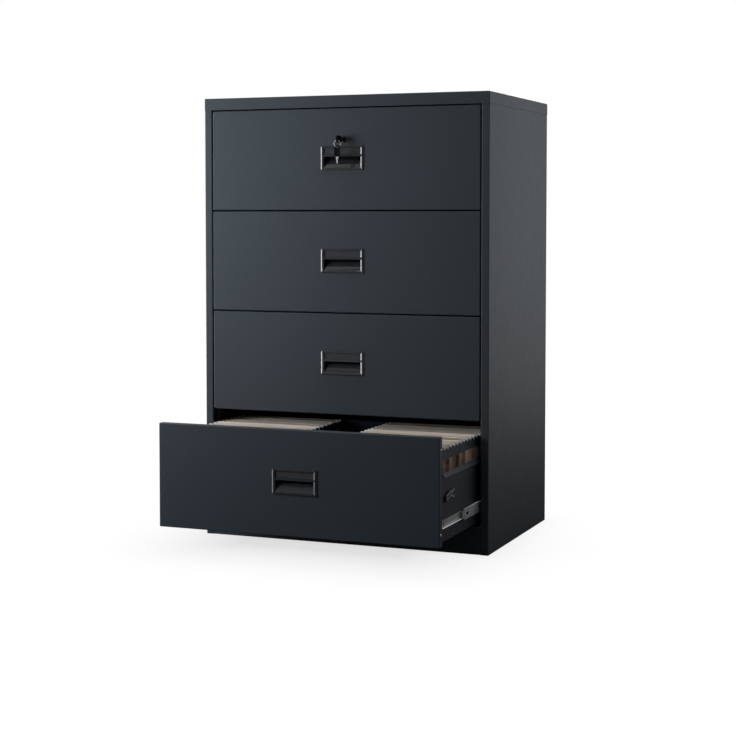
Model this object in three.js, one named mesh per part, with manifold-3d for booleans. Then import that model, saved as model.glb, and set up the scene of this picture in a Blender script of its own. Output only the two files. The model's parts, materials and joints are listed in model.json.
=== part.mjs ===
// A steel lateral filing cabinet with drawers on telescopic slides, its bottom drawer standing open.
// Millimetres, +Z up. The origin is on the floor under the middle of the cabinet, and -Y is its front.
import * as THREE from 'three';
import { mergeVertices } from 'three/addons/utils/BufferGeometryUtils.js';
import Module from 'manifold-3d';

const wasm = await Module();
wasm.setup();

// Carcass
const WIDTH = 900;
const DEPTH = 600;
const HEIGHT = 1320;
const CAP_HEIGHT = 35;
const CAP_OVERHANG = 0.7;
const CAP_FLANGE = 24;
const PLINTH_HEIGHT = 81;
const POST_WIDTH = 24.5;
const POST_RETURN = 17;
const BACK_FLANGE = 18;
const BASE_FLANGE = 28;
const BODY_SHEET = 1.2;
const BEND = 1.4;
const UPRIGHT_WIDTH = 40;
const FIT = 0.3;

// Drawers
const DRAWER_COUNT = 4;
const OPEN_TRAVEL = 343;
const FRONT_GAP = 3;
const FRONT_THICKNESS = 20;
const FRONT_CORNER = 3;
const FRONT_EDGE = 2.2;
const FRONT_FLANGE = 16;
const DRAWER_SHEET = 1;
const TRAY_LIFT = 6;
const TRAY_HEIGHT = 250;
const REAR_SPACE = 38.8;
const WINDOW_HEIGHT = 36;
const WINDOW_SILL = 186;
const WINDOW_LENGTH = 400;
const WINDOW_INSET = 32;
const LEDGE_REACH = 7.5;
const LEDGE_DROP = 11;
const LUG_INSET = 73;
const LUG_HEIGHT = 125;
const LUG_LENGTH = 50;
const LUG_WIDTH = 20;
const LUG_SLOT = 6;
const LUG_REACH = 6;
const LUG_TILT = THREE.MathUtils.degToRad(17);
const RAIL_SPACING = 330;
const RAIL_THICKNESS = 3;
const RAIL_HEIGHT = 22;

// Telescopic slides
const SLIDE_SPACE = 14.5;
const SLIDE_THICKNESS = 12.7;
const SLIDE_REAR_INSET = 2.3;
const SLIDE_INSET = 38;
const SLIDE_LIFT = 55.5;
const SLIDE_SHEET = 1.2;
const SLIDE_BEND = 0.6;
const SLIDE_LIP = 3;
const CABINET_MEMBER_HEIGHT = 44;
const MIDDLE_MEMBER_HEIGHT = 31.5;
const TRAY_MEMBER_HEIGHT = 23;
const MEMBER_REACH = 8;
const BALLS_PER_RACE = 2;
const BALL_SPACING = 60;

// Handle, measured from the front's outer face
const HANDLE_WIDTH = 134.5;
const HANDLE_HEIGHT = 71;
const HANDLE_CENTRE = 152.4;
const HANDLE_PROUD = 4;
const HANDLE_BACK = 17.5;
const HANDLE_CORNER = 5;
const HANDLE_EDGE = 1.6;
const HANDLE_SIDE_BAR = 7;
const HANDLE_TOP_BAR = 6;
const HANDLE_LOWER_BAR = 6.5;
const LABEL_HEIGHT = 19.5;
const LABEL_RECESS = 2;
const DIVIDER_HEIGHT = 5;
const GRIP_RISE = 14;
const HANDLE_WALL = 2;

// Lock with its keys
const LOCK_RISE = 18.5;
const ROSETTE_DIAMETER = 20;
const ROSETTE_PROUD = 4;
const BARREL_DIAMETER = 17;
const BARREL_BACK = 13.5;
const PLUG_DIAMETER = 11;
const CAM_THICKNESS = 2;
const CAM_LENGTH = 26;
const CAM_WIDTH = 10;
const ROD_WIDTH = 16;
const ROD_THICKNESS = 2.5;
const KEY_SHANK = 12;
const KEY_SHANK_WIDTH = 8;
const KEY_SHANK_THICKNESS = 2.2;
const BOW_LENGTH = 28;
const BOW_HEIGHT = 20;
const BOW_THICKNESS = 5;
const BOW_HOLE = 3.6;
const BOW_HOLE_INSET = 5.5;
const RING_RADIUS = 10;
const RING_WIRE = 0.8;
const RING_TURN = THREE.MathUtils.degToRad(40);
const SPARE_HEAD_WIDTH = 17;
const SPARE_HEAD_HEIGHT = 29;
const SPARE_HEAD_THICKNESS = 4;
const SPARE_HOLE = 3.8;
const SPARE_HOLE_DROP = 6;
const SPARE_BLADE_WIDTH = 8;
const SPARE_BLADE_LENGTH = 24;
const SPARE_BLADE_THICKNESS = 2.2;

// Hanging files
const FOLDER_PITCH = 28;
const FOLDER_MARGIN = 7;
const FOLDER_BOARD = 1.2;
const FOLDER_PEAK = 5;
const FOLDER_FOOT = 8;
const FOLDER_DROP = 228;
const FOLDER_CLEARANCE = 2;
const HOOK_BAR_THICKNESS = 3;
const HOOK_BAR_HEIGHT = 10;
const HOOK_BAR_PROUD = 5;
const HOOK_TIP = 1.5;
const HOOK_DROP = 4;

// Interlock
const INTERLOCK_WIDTH = 14;
const INTERLOCK_THICKNESS = 2;
const INTERLOCK_NOTCH = 6;

// Facets on round stretches
const BEND_STEPS = 2;
const CORNER_STEPS = 3;
const EDGE_STEPS = 2;
const ROUND_STEPS = 20;
const SLIDE_STEPS = 1;
const BALL_SIDES = 5;
const BALL_RINGS = 4;

// Places that several pieces share
const FRONT_Y = -DEPTH / 2 + CAP_OVERHANG;
const BACK_Y = DEPTH / 2 - CAP_OVERHANG;
const SIDE_OUTER = WIDTH / 2 - CAP_OVERHANG;
const SIDE_INNER = SIDE_OUTER - BODY_SHEET;
const OPENING_HALF = WIDTH / 2 - POST_WIDTH;
const CAP_BOTTOM = HEIGHT - CAP_HEIGHT;
const WALL_TOP = CAP_BOTTOM - FIT;
const PITCH = (CAP_BOTTOM - PLINTH_HEIGHT - FRONT_GAP) / DRAWER_COUNT;
const FRONT_HEIGHT = PITCH - FRONT_GAP;
const FRONT_HALF = OPENING_HALF - FRONT_GAP;
const TRAY_HALF = OPENING_HALF - SLIDE_SPACE;
const TRAY_FRONT = FRONT_Y + FRONT_THICKNESS + FIT;
const BACK_PANEL_Y = BACK_Y - BODY_SHEET - FIT;
const TRAY_BACK = BACK_PANEL_Y - BACK_FLANGE - REAR_SPACE;
const TRAY_TOP = TRAY_LIFT + TRAY_HEIGHT;
const RAIL_X = TRAY_HALF - RAIL_SPACING;
const SLIDE_X = TRAY_HALF + FIT;
const SLIDE_BACK_X = SLIDE_X + SLIDE_THICKNESS;
const SLIDE_FRONT = FRONT_Y + SLIDE_INSET;
const SLIDE_BACK = TRAY_BACK - SLIDE_REAR_INSET;
const UPRIGHT_X = SLIDE_BACK_X + FIT;
const HANDLE_TOP = HANDLE_CENTRE + HANDLE_HEIGHT / 2;
const LOCK_Z = HANDLE_TOP + LOCK_RISE;
const OVERCUT = 5;

// Finishes
const finish = (color, roughness, metalness) => (
  new THREE.MeshStandardMaterial({ color, roughness, metalness })
);
const POWDER_COAT = finish(0x383e42, 0.55, 0.1);
const INNER_COAT = finish(0x2c3033, 0.6, 0.1);
const ZINC = finish(0x9a9c9e, 0.35, 0.9);
const BLACK_PLASTIC = finish(0x17191b, 0.45, 0);
const CHROME = finish(0xc8cacc, 0.15, 1);
const MANILA = finish(0xbda78c, 0.85, 0);

// A geometry reduced to its shared corner points
function corners(geometry) {
  const bare = geometry.clone();
  bare.deleteAttribute('normal');
  bare.deleteAttribute('uv');
  return mergeVertices(bare);
}

// A closed three.js geometry as a solid that can be joined and cut
function solid(geometry) {
  const merged = corners(geometry);
  return new wasm.Manifold(new wasm.Mesh({
    numProp: 3,
    vertProperties: merged.attributes.position.array,
    triVerts: new Uint32Array(merged.index.array),
  }));
}

// The surface of a solid as a geometry
function surface(body) {
  const { vertProperties, triVerts } = body.getMesh();
  const geometry = new THREE.BufferGeometry();
  geometry.setAttribute('position', new THREE.BufferAttribute(new Float32Array(vertProperties), 3));
  geometry.setIndex(new THREE.BufferAttribute(new Uint32Array(triVerts), 1));
  geometry.computeVertexNormals();
  return geometry;
}

// The mirror image of a geometry on the other side of x = 0
function mirrored(geometry) {
  const image = corners(geometry).scale(-1, 1, 1);
  image.setIndex(Array.from(image.index.array).reverse());
  return image;
}

function block(x0, x1, y0, y1, z0, z1) {
  const geometry = new THREE.BoxGeometry(x1 - x0, y1 - y0, z1 - z0);
  return geometry.translate((x0 + x1) / 2, (y0 + y1) / 2, (z0 + z1) / 2);
}

const X_AXIS = new THREE.Vector3(1, 0, 0);
const Y_AXIS = new THREE.Vector3(0, 1, 0);
const Z_AXIS = new THREE.Vector3(0, 0, 1);
// Drawing planes: a front view drawn as (x, z) grows towards -Y, a side view drawn as (y, z) grows to +X
const FRONT_VIEW = new THREE.Matrix4().makeBasis(X_AXIS, Z_AXIS, Y_AXIS.clone().negate());
const SIDE_VIEW = new THREE.Matrix4().makeBasis(Y_AXIS, Z_AXIS, X_AXIS);

function extrude(shape, depth, steps = BEND_STEPS) {
  return new THREE.ExtrudeGeometry(shape, { depth, bevelEnabled: false, curveSegments: steps });
}

function alongX(shape, x0, x1, steps) {
  return extrude(shape, x1 - x0, steps).applyMatrix4(SIDE_VIEW).translate(x0, 0, 0);
}

function alongY(shape, y0, y1, steps) {
  return extrude(shape, y1 - y0, steps).applyMatrix4(FRONT_VIEW).translate(0, y1, 0);
}

function alongZ(shape, z0, z1, steps) {
  return extrude(shape, z1 - z0, steps).translate(0, 0, z0);
}

function polygon(points) {
  return new THREE.Shape(points.map(([x, y]) => new THREE.Vector2(x, y)));
}

function roundedRectangle(width, height, corner) {
  const x = width / 2;
  const y = height / 2;
  const shape = new THREE.Shape();
  shape.absarc(x - corner, y - corner, corner, 0, Math.PI / 2);
  shape.absarc(corner - x, y - corner, corner, Math.PI / 2, Math.PI);
  shape.absarc(corner - x, corner - y, corner, Math.PI, Math.PI * 1.5);
  shape.absarc(x - corner, corner - y, corner, Math.PI * 1.5, Math.PI * 2);
  return shape;
}

function circle(x, y, radius) {
  return new THREE.Shape().absarc(x, y, radius, 0, Math.PI * 2);
}

// A slot with round ends, its long axis turned by tilt
function capsule(length, width, tilt) {
  const reach = (length - width) / 2;
  const x = Math.cos(tilt) * reach;
  const y = Math.sin(tilt) * reach;
  const shape = new THREE.Shape();
  shape.absarc(x, y, width / 2, tilt - Math.PI / 2, tilt + Math.PI / 2);
  shape.absarc(-x, -y, width / 2, tilt + Math.PI / 2, tilt + Math.PI * 1.5);
  return shape;
}

// A slab from z = 0 to depth with the edges of its far face rounded
function roundedSlab(width, height, depth, corner, edge) {
  const bulk = new THREE.ExtrudeGeometry(roundedRectangle(width, height, corner), {
    depth,
    bevelThickness: edge,
    bevelSize: edge,
    bevelOffset: -edge,
    bevelSegments: EDGE_STEPS,
    curveSegments: CORNER_STEPS,
  }).translate(0, 0, -edge);
  const below = block(-width, width, -height, height, -edge - depth, 0);
  return surface(solid(bulk).subtract(solid(below)));
}

// The section of a folded sheet: points run along one face, and the sheet lies to their left
function foldedSheet(points, sheet, bend) {
  const face = points.map(([x, y]) => new THREE.Vector2(x, y));
  const headings = face.slice(1).map((point, i) => point.clone().sub(face[i]).normalize());
  const turns = headings.slice(1).map((heading, i) => headings[i].cross(heading));
  const leftOf = (heading) => new THREE.Vector2(-heading.y, heading.x).multiplyScalar(sheet);
  const other = face.map((point, i) => {
    const before = headings[Math.max(i - 1, 0)];
    const after = headings[Math.min(i, headings.length - 1)];
    const mitre = leftOf(before).add(leftOf(after));
    return point.clone().addScaledVector(mitre, 1 / (1 + before.dot(after)));
  });
  const shape = new THREE.Shape();
  const faceRadii = turns.map((turn) => (turn > 0 ? bend + sheet : bend));
  const otherRadii = turns.map((turn) => (turn > 0 ? bend : bend + sheet));
  roundedPath(shape, face, faceRadii);
  roundedPath(shape, other.reverse(), otherRadii.reverse());
  return shape;
}

// Continues a shape along points, with an arc at each corner between the first and the last
function roundedPath(shape, points, radii) {
  const last = points.length - 1;
  const first = points[0];
  if (shape.curves.length === 0) shape.moveTo(first.x, first.y);
  else shape.lineTo(first.x, first.y);
  for (let i = 1; i < last; i += 1) {
    const before = points[i].clone().sub(points[i - 1]).normalize();
    const after = points[i + 1].clone().sub(points[i]).normalize();
    const turn = Math.atan2(before.cross(after), before.dot(after));
    const side = Math.sign(turn);
    const radius = radii[i - 1];
    const start = points[i].clone().addScaledVector(before, -radius * Math.tan(Math.abs(turn) / 2));
    const centre = start.clone().add(new THREE.Vector2(-before.y, before.x).multiplyScalar(side * radius));
    const angle = Math.atan2(start.y - centre.y, start.x - centre.x);
    shape.absarc(centre.x, centre.y, radius, angle, angle + turn, turn < 0);
  }
  shape.lineTo(points[last].x, points[last].y);
}

const cabinet = new THREE.Group();

function place(parent, name, geometry, material) {
  const mesh = new THREE.Mesh(geometry, material);
  mesh.name = name;
  parent.add(mesh);
  return mesh;
}

// Right-hand geometry and its mirror image on the left
function placePair(parent, name, geometry, material) {
  place(parent, `${name}_right`, geometry, material);
  place(parent, `${name}_left`, geometry, material).scale.x = -1;
}

// Side panel: one sheet folded into the front post and the rear flange
function sidePanel() {
  const section = foldedSheet([
    [OPENING_HALF, FRONT_Y + POST_RETURN],
    [OPENING_HALF, FRONT_Y],
    [SIDE_OUTER, FRONT_Y],
    [SIDE_OUTER, BACK_Y],
    [SIDE_OUTER - BACK_FLANGE, BACK_Y],
  ], BODY_SHEET, BEND);
  return alongZ(section, 0, WALL_TOP);
}

// Top cap: a lid with a skirt and a flange turned in, slotted for the lock rod
function topCap() {
  const lid = roundedSlab(WIDTH, DEPTH, CAP_HEIGHT, FRONT_CORNER, FRONT_EDGE);
  const x = WIDTH / 2;
  const y = DEPTH / 2;
  const hollow = block(
    BODY_SHEET - x, x - BODY_SHEET, BODY_SHEET - y, y - BODY_SHEET, BODY_SHEET, CAP_HEIGHT - BODY_SHEET,
  );
  const mouth = block(
    CAP_FLANGE - x, x - CAP_FLANGE, CAP_FLANGE - y, y - CAP_FLANGE, -OVERCUT, CAP_HEIGHT / 2,
  );
  const slot = rodSlot(-OVERCUT, CAP_HEIGHT / 2);
  const shell = solid(lid).subtract(solid(hollow)).subtract(solid(mouth)).subtract(solid(slot));
  return surface(shell).translate(0, 0, CAP_BOTTOM);
}

// Back panel: a sheet with turned edges, set in front of the side panels' rear flanges
function backPanel() {
  const half = SIDE_INNER - FIT;
  const section = foldedSheet([
    [half, BACK_PANEL_Y - BACK_FLANGE],
    [half, BACK_PANEL_Y],
    [-half, BACK_PANEL_Y],
    [-half, BACK_PANEL_Y - BACK_FLANGE],
  ], BODY_SHEET, BEND);
  return alongZ(section, 0, WALL_TOP);
}

// Base pan: plinth front, floor sheet and rear wall folded from one sheet
function basePan() {
  const back = BACK_PANEL_Y - BODY_SHEET - FIT;
  const section = foldedSheet([
    [FRONT_Y + BASE_FLANGE, PLINTH_HEIGHT],
    [FRONT_Y, PLINTH_HEIGHT],
    [FRONT_Y, 0],
    [back, 0],
    [back, PLINTH_HEIGHT],
    [back - BASE_FLANGE, PLINTH_HEIGHT],
  ], BODY_SHEET, BEND);
  const half = OPENING_HALF - FIT;
  return alongX(section, -half, half);
}

// Upright: a channel against the side panel that carries the slides
function upright(front) {
  const outer = SIDE_INNER - FIT;
  const section = foldedSheet([
    [outer, front + UPRIGHT_WIDTH],
    [UPRIGHT_X, front + UPRIGHT_WIDTH],
    [UPRIGHT_X, front],
    [outer, front],
  ], BODY_SHEET, BEND);
  return alongZ(section, PLINTH_HEIGHT + FIT, WALL_TOP);
}

// Interlock bar: runs up behind the right front upright, with a notch at each drawer's slides
const FRONT_UPRIGHT_Y = SLIDE_FRONT;
const REAR_UPRIGHT_Y = SLIDE_BACK - UPRIGHT_WIDTH;
const INTERLOCK_Y = FRONT_UPRIGHT_Y + UPRIGHT_WIDTH + FIT;

function interlockBar() {
  const left = UPRIGHT_X + BODY_SHEET + BEND;
  const back = INTERLOCK_Y + INTERLOCK_THICKNESS;
  const lower = PLINTH_HEIGHT + FRONT_GAP;
  const upper = lower + DRAWER_COUNT * PITCH - INTERLOCK_WIDTH;
  let bar = solid(block(left, left + INTERLOCK_WIDTH, INTERLOCK_Y, back, lower, upper));
  for (let i = 0; i < DRAWER_COUNT; i += 1) {
    const z = lower + i * PITCH + SLIDE_LIFT;
    bar = bar.subtract(solid(block(
      left - OVERCUT, left + INTERLOCK_NOTCH, INTERLOCK_Y - OVERCUT, back + OVERCUT,
      z - INTERLOCK_NOTCH, z + INTERLOCK_NOTCH,
    )));
  }
  return surface(bar);
}

// Slide sections, drawn looking from the front at the right-hand side
const CABINET_HALF = CABINET_MEMBER_HEIGHT / 2;
const MIDDLE_HALF = MIDDLE_MEMBER_HEIGHT / 2;
const TRAY_MEMBER_HALF = TRAY_MEMBER_HEIGHT / 2;
const MIDDLE_X = SLIDE_BACK_X - SLIDE_SHEET - FIT * 2;

// A channel that opens towards the drawer, with lips turned towards its middle
function lippedChannel(back, half) {
  const tip = back - MEMBER_REACH;
  return foldedSheet([
    [tip, SLIDE_LIP - half],
    [tip, -half],
    [back, -half],
    [back, half],
    [tip, half],
    [tip, half - SLIDE_LIP],
  ], SLIDE_SHEET, SLIDE_BEND);
}

function cabinetMember() {
  return alongY(lippedChannel(SLIDE_BACK_X, CABINET_HALF), SLIDE_FRONT, SLIDE_BACK, SLIDE_STEPS);
}

function trayMember() {
  const tip = SLIDE_X + MEMBER_REACH - SLIDE_SHEET;
  const section = foldedSheet([
    [tip, TRAY_MEMBER_HALF],
    [SLIDE_X, TRAY_MEMBER_HALF],
    [SLIDE_X, -TRAY_MEMBER_HALF],
    [tip, -TRAY_MEMBER_HALF],
  ], SLIDE_SHEET, SLIDE_BEND);
  return alongY(section, SLIDE_FRONT, SLIDE_BACK, SLIDE_STEPS);
}

// A ball beside a channel's lip, standing in the flange and clear of the race, above or below the middle
function ball(channelBack, y, flange, race, side) {
  const radius = (race - flange) / 2;
  const x = channelBack - MEMBER_REACH + SLIDE_SHEET + FIT + radius;
  const geometry = new THREE.SphereGeometry(radius, BALL_SIDES, BALL_RINGS).rotateX(Math.PI / 2);
  return geometry.translate(x, y, side * (flange - FIT + radius));
}

// Middle member with rows of balls outside and inside it, above and below
function middleMember() {
  const section = lippedChannel(MIDDLE_X, MIDDLE_HALF);
  let body = solid(alongY(section, SLIDE_FRONT, SLIDE_BACK, SLIDE_STEPS));
  const middle = (SLIDE_FRONT + SLIDE_BACK) / 2;
  const outerRace = CABINET_HALF - SLIDE_SHEET;
  const innerFlange = MIDDLE_HALF - SLIDE_SHEET;
  for (let i = 0; i < BALLS_PER_RACE; i += 1) {
    const y = middle + (i - (BALLS_PER_RACE - 1) / 2) * BALL_SPACING;
    for (const side of [1, -1]) {
      body = body.add(solid(ball(SLIDE_BACK_X, y, MIDDLE_HALF, outerRace, side)));
      body = body.add(solid(ball(MIDDLE_X, y, -innerFlange, -TRAY_MEMBER_HALF, side)));
    }
  }
  return surface(body);
}

// Drawer pieces, drawn closed, with z measured from the lower edge of the front
function rodSlot(z0, z1) {
  const half = ROD_WIDTH / 2 + FIT * 4;
  return block(-half, half, ROD_Y - FIT * 4, ROD_Y + ROD_THICKNESS + FIT * 4, z0, z1);
}

const ROD_Y = FRONT_Y + BARREL_BACK + FIT;
const HANDLE_BOX_WIDTH = HANDLE_WIDTH - HANDLE_SIDE_BAR;
const HANDLE_BOX_HEIGHT = HANDLE_HEIGHT - HANDLE_LOWER_BAR;

// Front: a pan with rounded face edges and a flange turned in behind, cut for the handle and the lock
function drawerFront(hasLock) {
  const slab = roundedSlab(FRONT_HALF * 2, FRONT_HEIGHT, FRONT_THICKNESS, FRONT_CORNER, FRONT_EDGE);
  slab.applyMatrix4(FRONT_VIEW).translate(0, FRONT_Y + FRONT_THICKNESS, FRONT_HEIGHT / 2);
  const back = FRONT_Y + FRONT_THICKNESS;
  const hollow = block(
    DRAWER_SHEET - FRONT_HALF, FRONT_HALF - DRAWER_SHEET,
    FRONT_Y + DRAWER_SHEET, back - DRAWER_SHEET,
    DRAWER_SHEET, FRONT_HEIGHT - DRAWER_SHEET,
  );
  const mouth = block(
    FRONT_FLANGE - FRONT_HALF, FRONT_HALF - FRONT_FLANGE,
    FRONT_Y + FRONT_THICKNESS / 2, back + OVERCUT,
    FRONT_FLANGE, FRONT_HEIGHT - FRONT_FLANGE,
  );
  const x = HANDLE_BOX_WIDTH / 2 + FIT;
  const z = HANDLE_BOX_HEIGHT / 2 + FIT;
  const handleHole = block(
    -x, x, FRONT_Y - OVERCUT, FRONT_Y + OVERCUT, HANDLE_CENTRE - z, HANDLE_CENTRE + z,
  );
  let body = solid(slab).subtract(solid(hollow)).subtract(solid(mouth)).subtract(solid(handleHole));
  if (hasLock) {
    const lockHole = circle(0, LOCK_Z, BARREL_DIAMETER / 2 + FIT);
    body = body.subtract(solid(alongY(lockHole, FRONT_Y - OVERCUT, FRONT_Y + OVERCUT, ROUND_STEPS)));
    body = body.subtract(solid(rodSlot(FRONT_HEIGHT - OVERCUT, FRONT_HEIGHT + OVERCUT)));
  }
  return surface(body);
}

// Tray: folded box whose sides have a long window, a ledge under it and the interlock's lug
function tray() {
  const wall = DRAWER_SHEET;
  const outer = block(-TRAY_HALF, TRAY_HALF, TRAY_FRONT, TRAY_BACK, TRAY_LIFT, TRAY_TOP);
  const hollow = block(
    wall - TRAY_HALF, TRAY_HALF - wall,
    TRAY_FRONT + wall, TRAY_BACK - wall,
    TRAY_LIFT + wall, TRAY_TOP + OVERCUT,
  );
  const sill = TRAY_LIFT + WINDOW_SILL;
  const windowFront = TRAY_FRONT + WINDOW_INSET;
  const windowBack = windowFront + WINDOW_LENGTH;
  const windows = block(
    -TRAY_HALF - OVERCUT, TRAY_HALF + OVERCUT, windowFront, windowBack, sill, sill + WINDOW_HEIGHT,
  );
  let body = solid(outer).subtract(solid(hollow)).subtract(solid(windows));
  const ledge = alongY(polygon([
    [TRAY_HALF - wall, sill],
    [TRAY_HALF - wall, sill - wall * 2],
    [TRAY_HALF + LEDGE_REACH, sill - LEDGE_DROP - wall],
    [TRAY_HALF + LEDGE_REACH, sill - LEDGE_DROP],
    [TRAY_HALF, sill],
  ]), windowFront, windowBack);
  const lugShape = capsule(LUG_LENGTH, LUG_WIDTH, LUG_TILT);
  lugShape.holes.push(capsule(LUG_LENGTH - LUG_WIDTH, LUG_SLOT, LUG_TILT));
  const lug = alongX(lugShape, TRAY_HALF - wall, TRAY_HALF + LUG_REACH, CORNER_STEPS)
    .translate(0, TRAY_FRONT + LUG_INSET, LUG_HEIGHT);
  for (const fold of [ledge, lug]) {
    body = body.add(solid(fold)).add(solid(mirrored(fold)));
  }
  return surface(body);
}

// Hanging rails: two flat bars joined by hooked cross bars that rest on the tray's end walls
function railFrame() {
  const bar = RAIL_THICKNESS / 2;
  const low = TRAY_TOP - RAIL_HEIGHT;
  const front = TRAY_FRONT + DRAWER_SHEET + FIT;
  const back = TRAY_BACK - DRAWER_SHEET - FIT;
  const hook = TRAY_TOP + FIT;
  const crossBar = polygon([
    [front, low],
    [front + RAIL_THICKNESS, low],
    [front + RAIL_THICKNESS, hook + RAIL_THICKNESS],
    [TRAY_FRONT, hook + RAIL_THICKNESS],
    [TRAY_FRONT, hook],
    [front, hook],
  ]);
  const reach = RAIL_X + bar;
  const frontBar = alongX(crossBar, -reach, reach);
  const rearBar = frontBar.clone().rotateZ(Math.PI).translate(0, TRAY_FRONT + TRAY_BACK, 0);
  const rail = block(RAIL_X - bar, RAIL_X + bar, front, back, low, TRAY_TOP);
  return surface(solid(frontBar)
    .add(solid(rearBar))
    .add(solid(rail))
    .add(solid(rail.clone().translate(-RAIL_X * 2, 0, 0))));
}

// Handle: a rimmed plate with a label recess over a finger pocket that rises behind the label
function handle() {
  const rim = roundedSlab(HANDLE_WIDTH, HANDLE_HEIGHT, HANDLE_PROUD, HANDLE_CORNER, HANDLE_EDGE)
    .applyMatrix4(FRONT_VIEW);
  const x = HANDLE_BOX_WIDTH / 2;
  const z = HANDLE_BOX_HEIGHT / 2;
  const housing = block(-x, x, -HANDLE_EDGE, HANDLE_BACK, -z, z);
  const top = HANDLE_HEIGHT / 2;
  const inner = HANDLE_WIDTH / 2 - HANDLE_SIDE_BAR;
  const labelTop = top - HANDLE_TOP_BAR;
  const labelLow = labelTop - LABEL_HEIGHT;
  const labelFloor = LABEL_RECESS - HANDLE_PROUD;
  const label = block(-inner, inner, -HANDLE_PROUD - OVERCUT, labelFloor, labelLow, labelTop);
  const mouthTop = labelLow - DIVIDER_HEIGHT;
  const mouthLow = HANDLE_LOWER_BAR - top;
  const deep = HANDLE_BACK - HANDLE_WALL;
  const pocket = alongX(polygon([
    [-HANDLE_PROUD - OVERCUT, mouthLow],
    [-HANDLE_PROUD + HANDLE_WALL, mouthLow],
    [deep, mouthLow + GRIP_RISE],
    [deep, mouthTop + GRIP_RISE],
    [HANDLE_WALL, mouthTop + GRIP_RISE],
    [HANDLE_WALL, mouthTop],
    [-HANDLE_PROUD - OVERCUT, mouthTop],
  ]), -inner, inner);
  const body = solid(rim).add(solid(housing)).subtract(solid(label)).subtract(solid(pocket));
  return surface(body).translate(0, FRONT_Y - FIT, HANDLE_CENTRE);
}

// Lock barrel: a turned body with its rosette, bored for the plug
function lockBarrel() {
  const bore = PLUG_DIAMETER / 2 + FIT;
  const barrel = BARREL_DIAMETER / 2;
  const rosette = ROSETTE_DIAMETER / 2;
  const chamfer = ROSETTE_PROUD / 3;
  const profile = [
    [bore, -BARREL_BACK],
    [barrel, -BARREL_BACK],
    [barrel, FIT],
    [rosette, FIT],
    [rosette, ROSETTE_PROUD - chamfer],
    [rosette - chamfer, ROSETTE_PROUD],
    [bore, ROSETTE_PROUD],
    [bore, -BARREL_BACK],
  ].map(([x, y]) => new THREE.Vector2(x, y));
  return new THREE.LatheGeometry(profile, ROUND_STEPS).rotateX(Math.PI).translate(0, FRONT_Y, LOCK_Z);
}

const CAM_Y = ROD_Y + ROD_THICKNESS + FIT;
const PLUG_TAIL = CAM_Y - FRONT_Y + CAM_THICKNESS;

// Plug with the cam on its tail, which points sideways while the lock is open
function lockPlug() {
  const radius = PLUG_DIAMETER / 2;
  const neck = radius / 2;
  const profile = [
    [0, -PLUG_TAIL],
    [neck, -PLUG_TAIL],
    [neck, -BARREL_BACK],
    [radius, -BARREL_BACK],
    [radius, ROSETTE_PROUD - FIT],
    [0, ROSETTE_PROUD - FIT],
  ].map(([x, y]) => new THREE.Vector2(x, y));
  const plug = new THREE.LatheGeometry(profile, ROUND_STEPS).rotateX(Math.PI).translate(0, FRONT_Y, LOCK_Z);
  const cam = alongY(capsule(CAM_LENGTH, CAM_WIDTH, 0), CAM_Y, CAM_Y + CAM_THICKNESS, CORNER_STEPS)
    .translate((CAM_LENGTH - CAM_WIDTH) / 2, 0, LOCK_Z);
  return surface(solid(plug).add(solid(cam)));
}

// Lock rod: a flat bar above the plug's neck that rises into the cap's slot
function lockRod() {
  const low = LOCK_Z + CAM_WIDTH / 2;
  return block(-ROD_WIDTH / 2, ROD_WIDTH / 2, ROD_Y, ROD_Y + ROD_THICKNESS, low, FRONT_HEIGHT);
}

// Key in the lock: a steel shank and a plastic bow with a hole for the ring
const KEY_FRONT = FRONT_Y - ROSETTE_PROUD;
const BOW_BACK = KEY_FRONT - KEY_SHANK;
const BOW_HOLE_Y = BOW_BACK - BOW_LENGTH + BOW_HOLE_INSET;
const BOW_HOLE_Z = LOCK_Z - BOW_HEIGHT / 2 + BOW_HOLE_INSET;

function lockKey() {
  const outline = roundedRectangle(BOW_LENGTH, BOW_HEIGHT, BOW_HOLE_INSET);
  const bowCentre = BOW_BACK - BOW_LENGTH / 2;
  outline.holes.push(circle(BOW_HOLE_Y - bowCentre, BOW_HOLE_Z - LOCK_Z, BOW_HOLE));
  const bow = alongX(outline, -BOW_THICKNESS / 2, BOW_THICKNESS / 2, CORNER_STEPS * 2)
    .translate(0, bowCentre, LOCK_Z);
  const shankHalf = KEY_SHANK_THICKNESS / 2;
  const shank = block(
    -shankHalf, shankHalf, BOW_BACK - OVERCUT, KEY_FRONT,
    LOCK_Z - KEY_SHANK_WIDTH / 2, LOCK_Z + KEY_SHANK_WIDTH / 2,
  );
  return surface(solid(bow).add(solid(shank)));
}

// Ring through the key's bow, and the spare key that hangs at its lowest point
const RING_Z = BOW_HOLE_Z - RING_RADIUS;

function keyRing() {
  return new THREE.TorusGeometry(RING_RADIUS, RING_WIRE, 6, ROUND_STEPS)
    .rotateX(Math.PI / 2)
    .rotateZ(RING_TURN)
    .translate(0, BOW_HOLE_Y, RING_Z);
}

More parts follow.
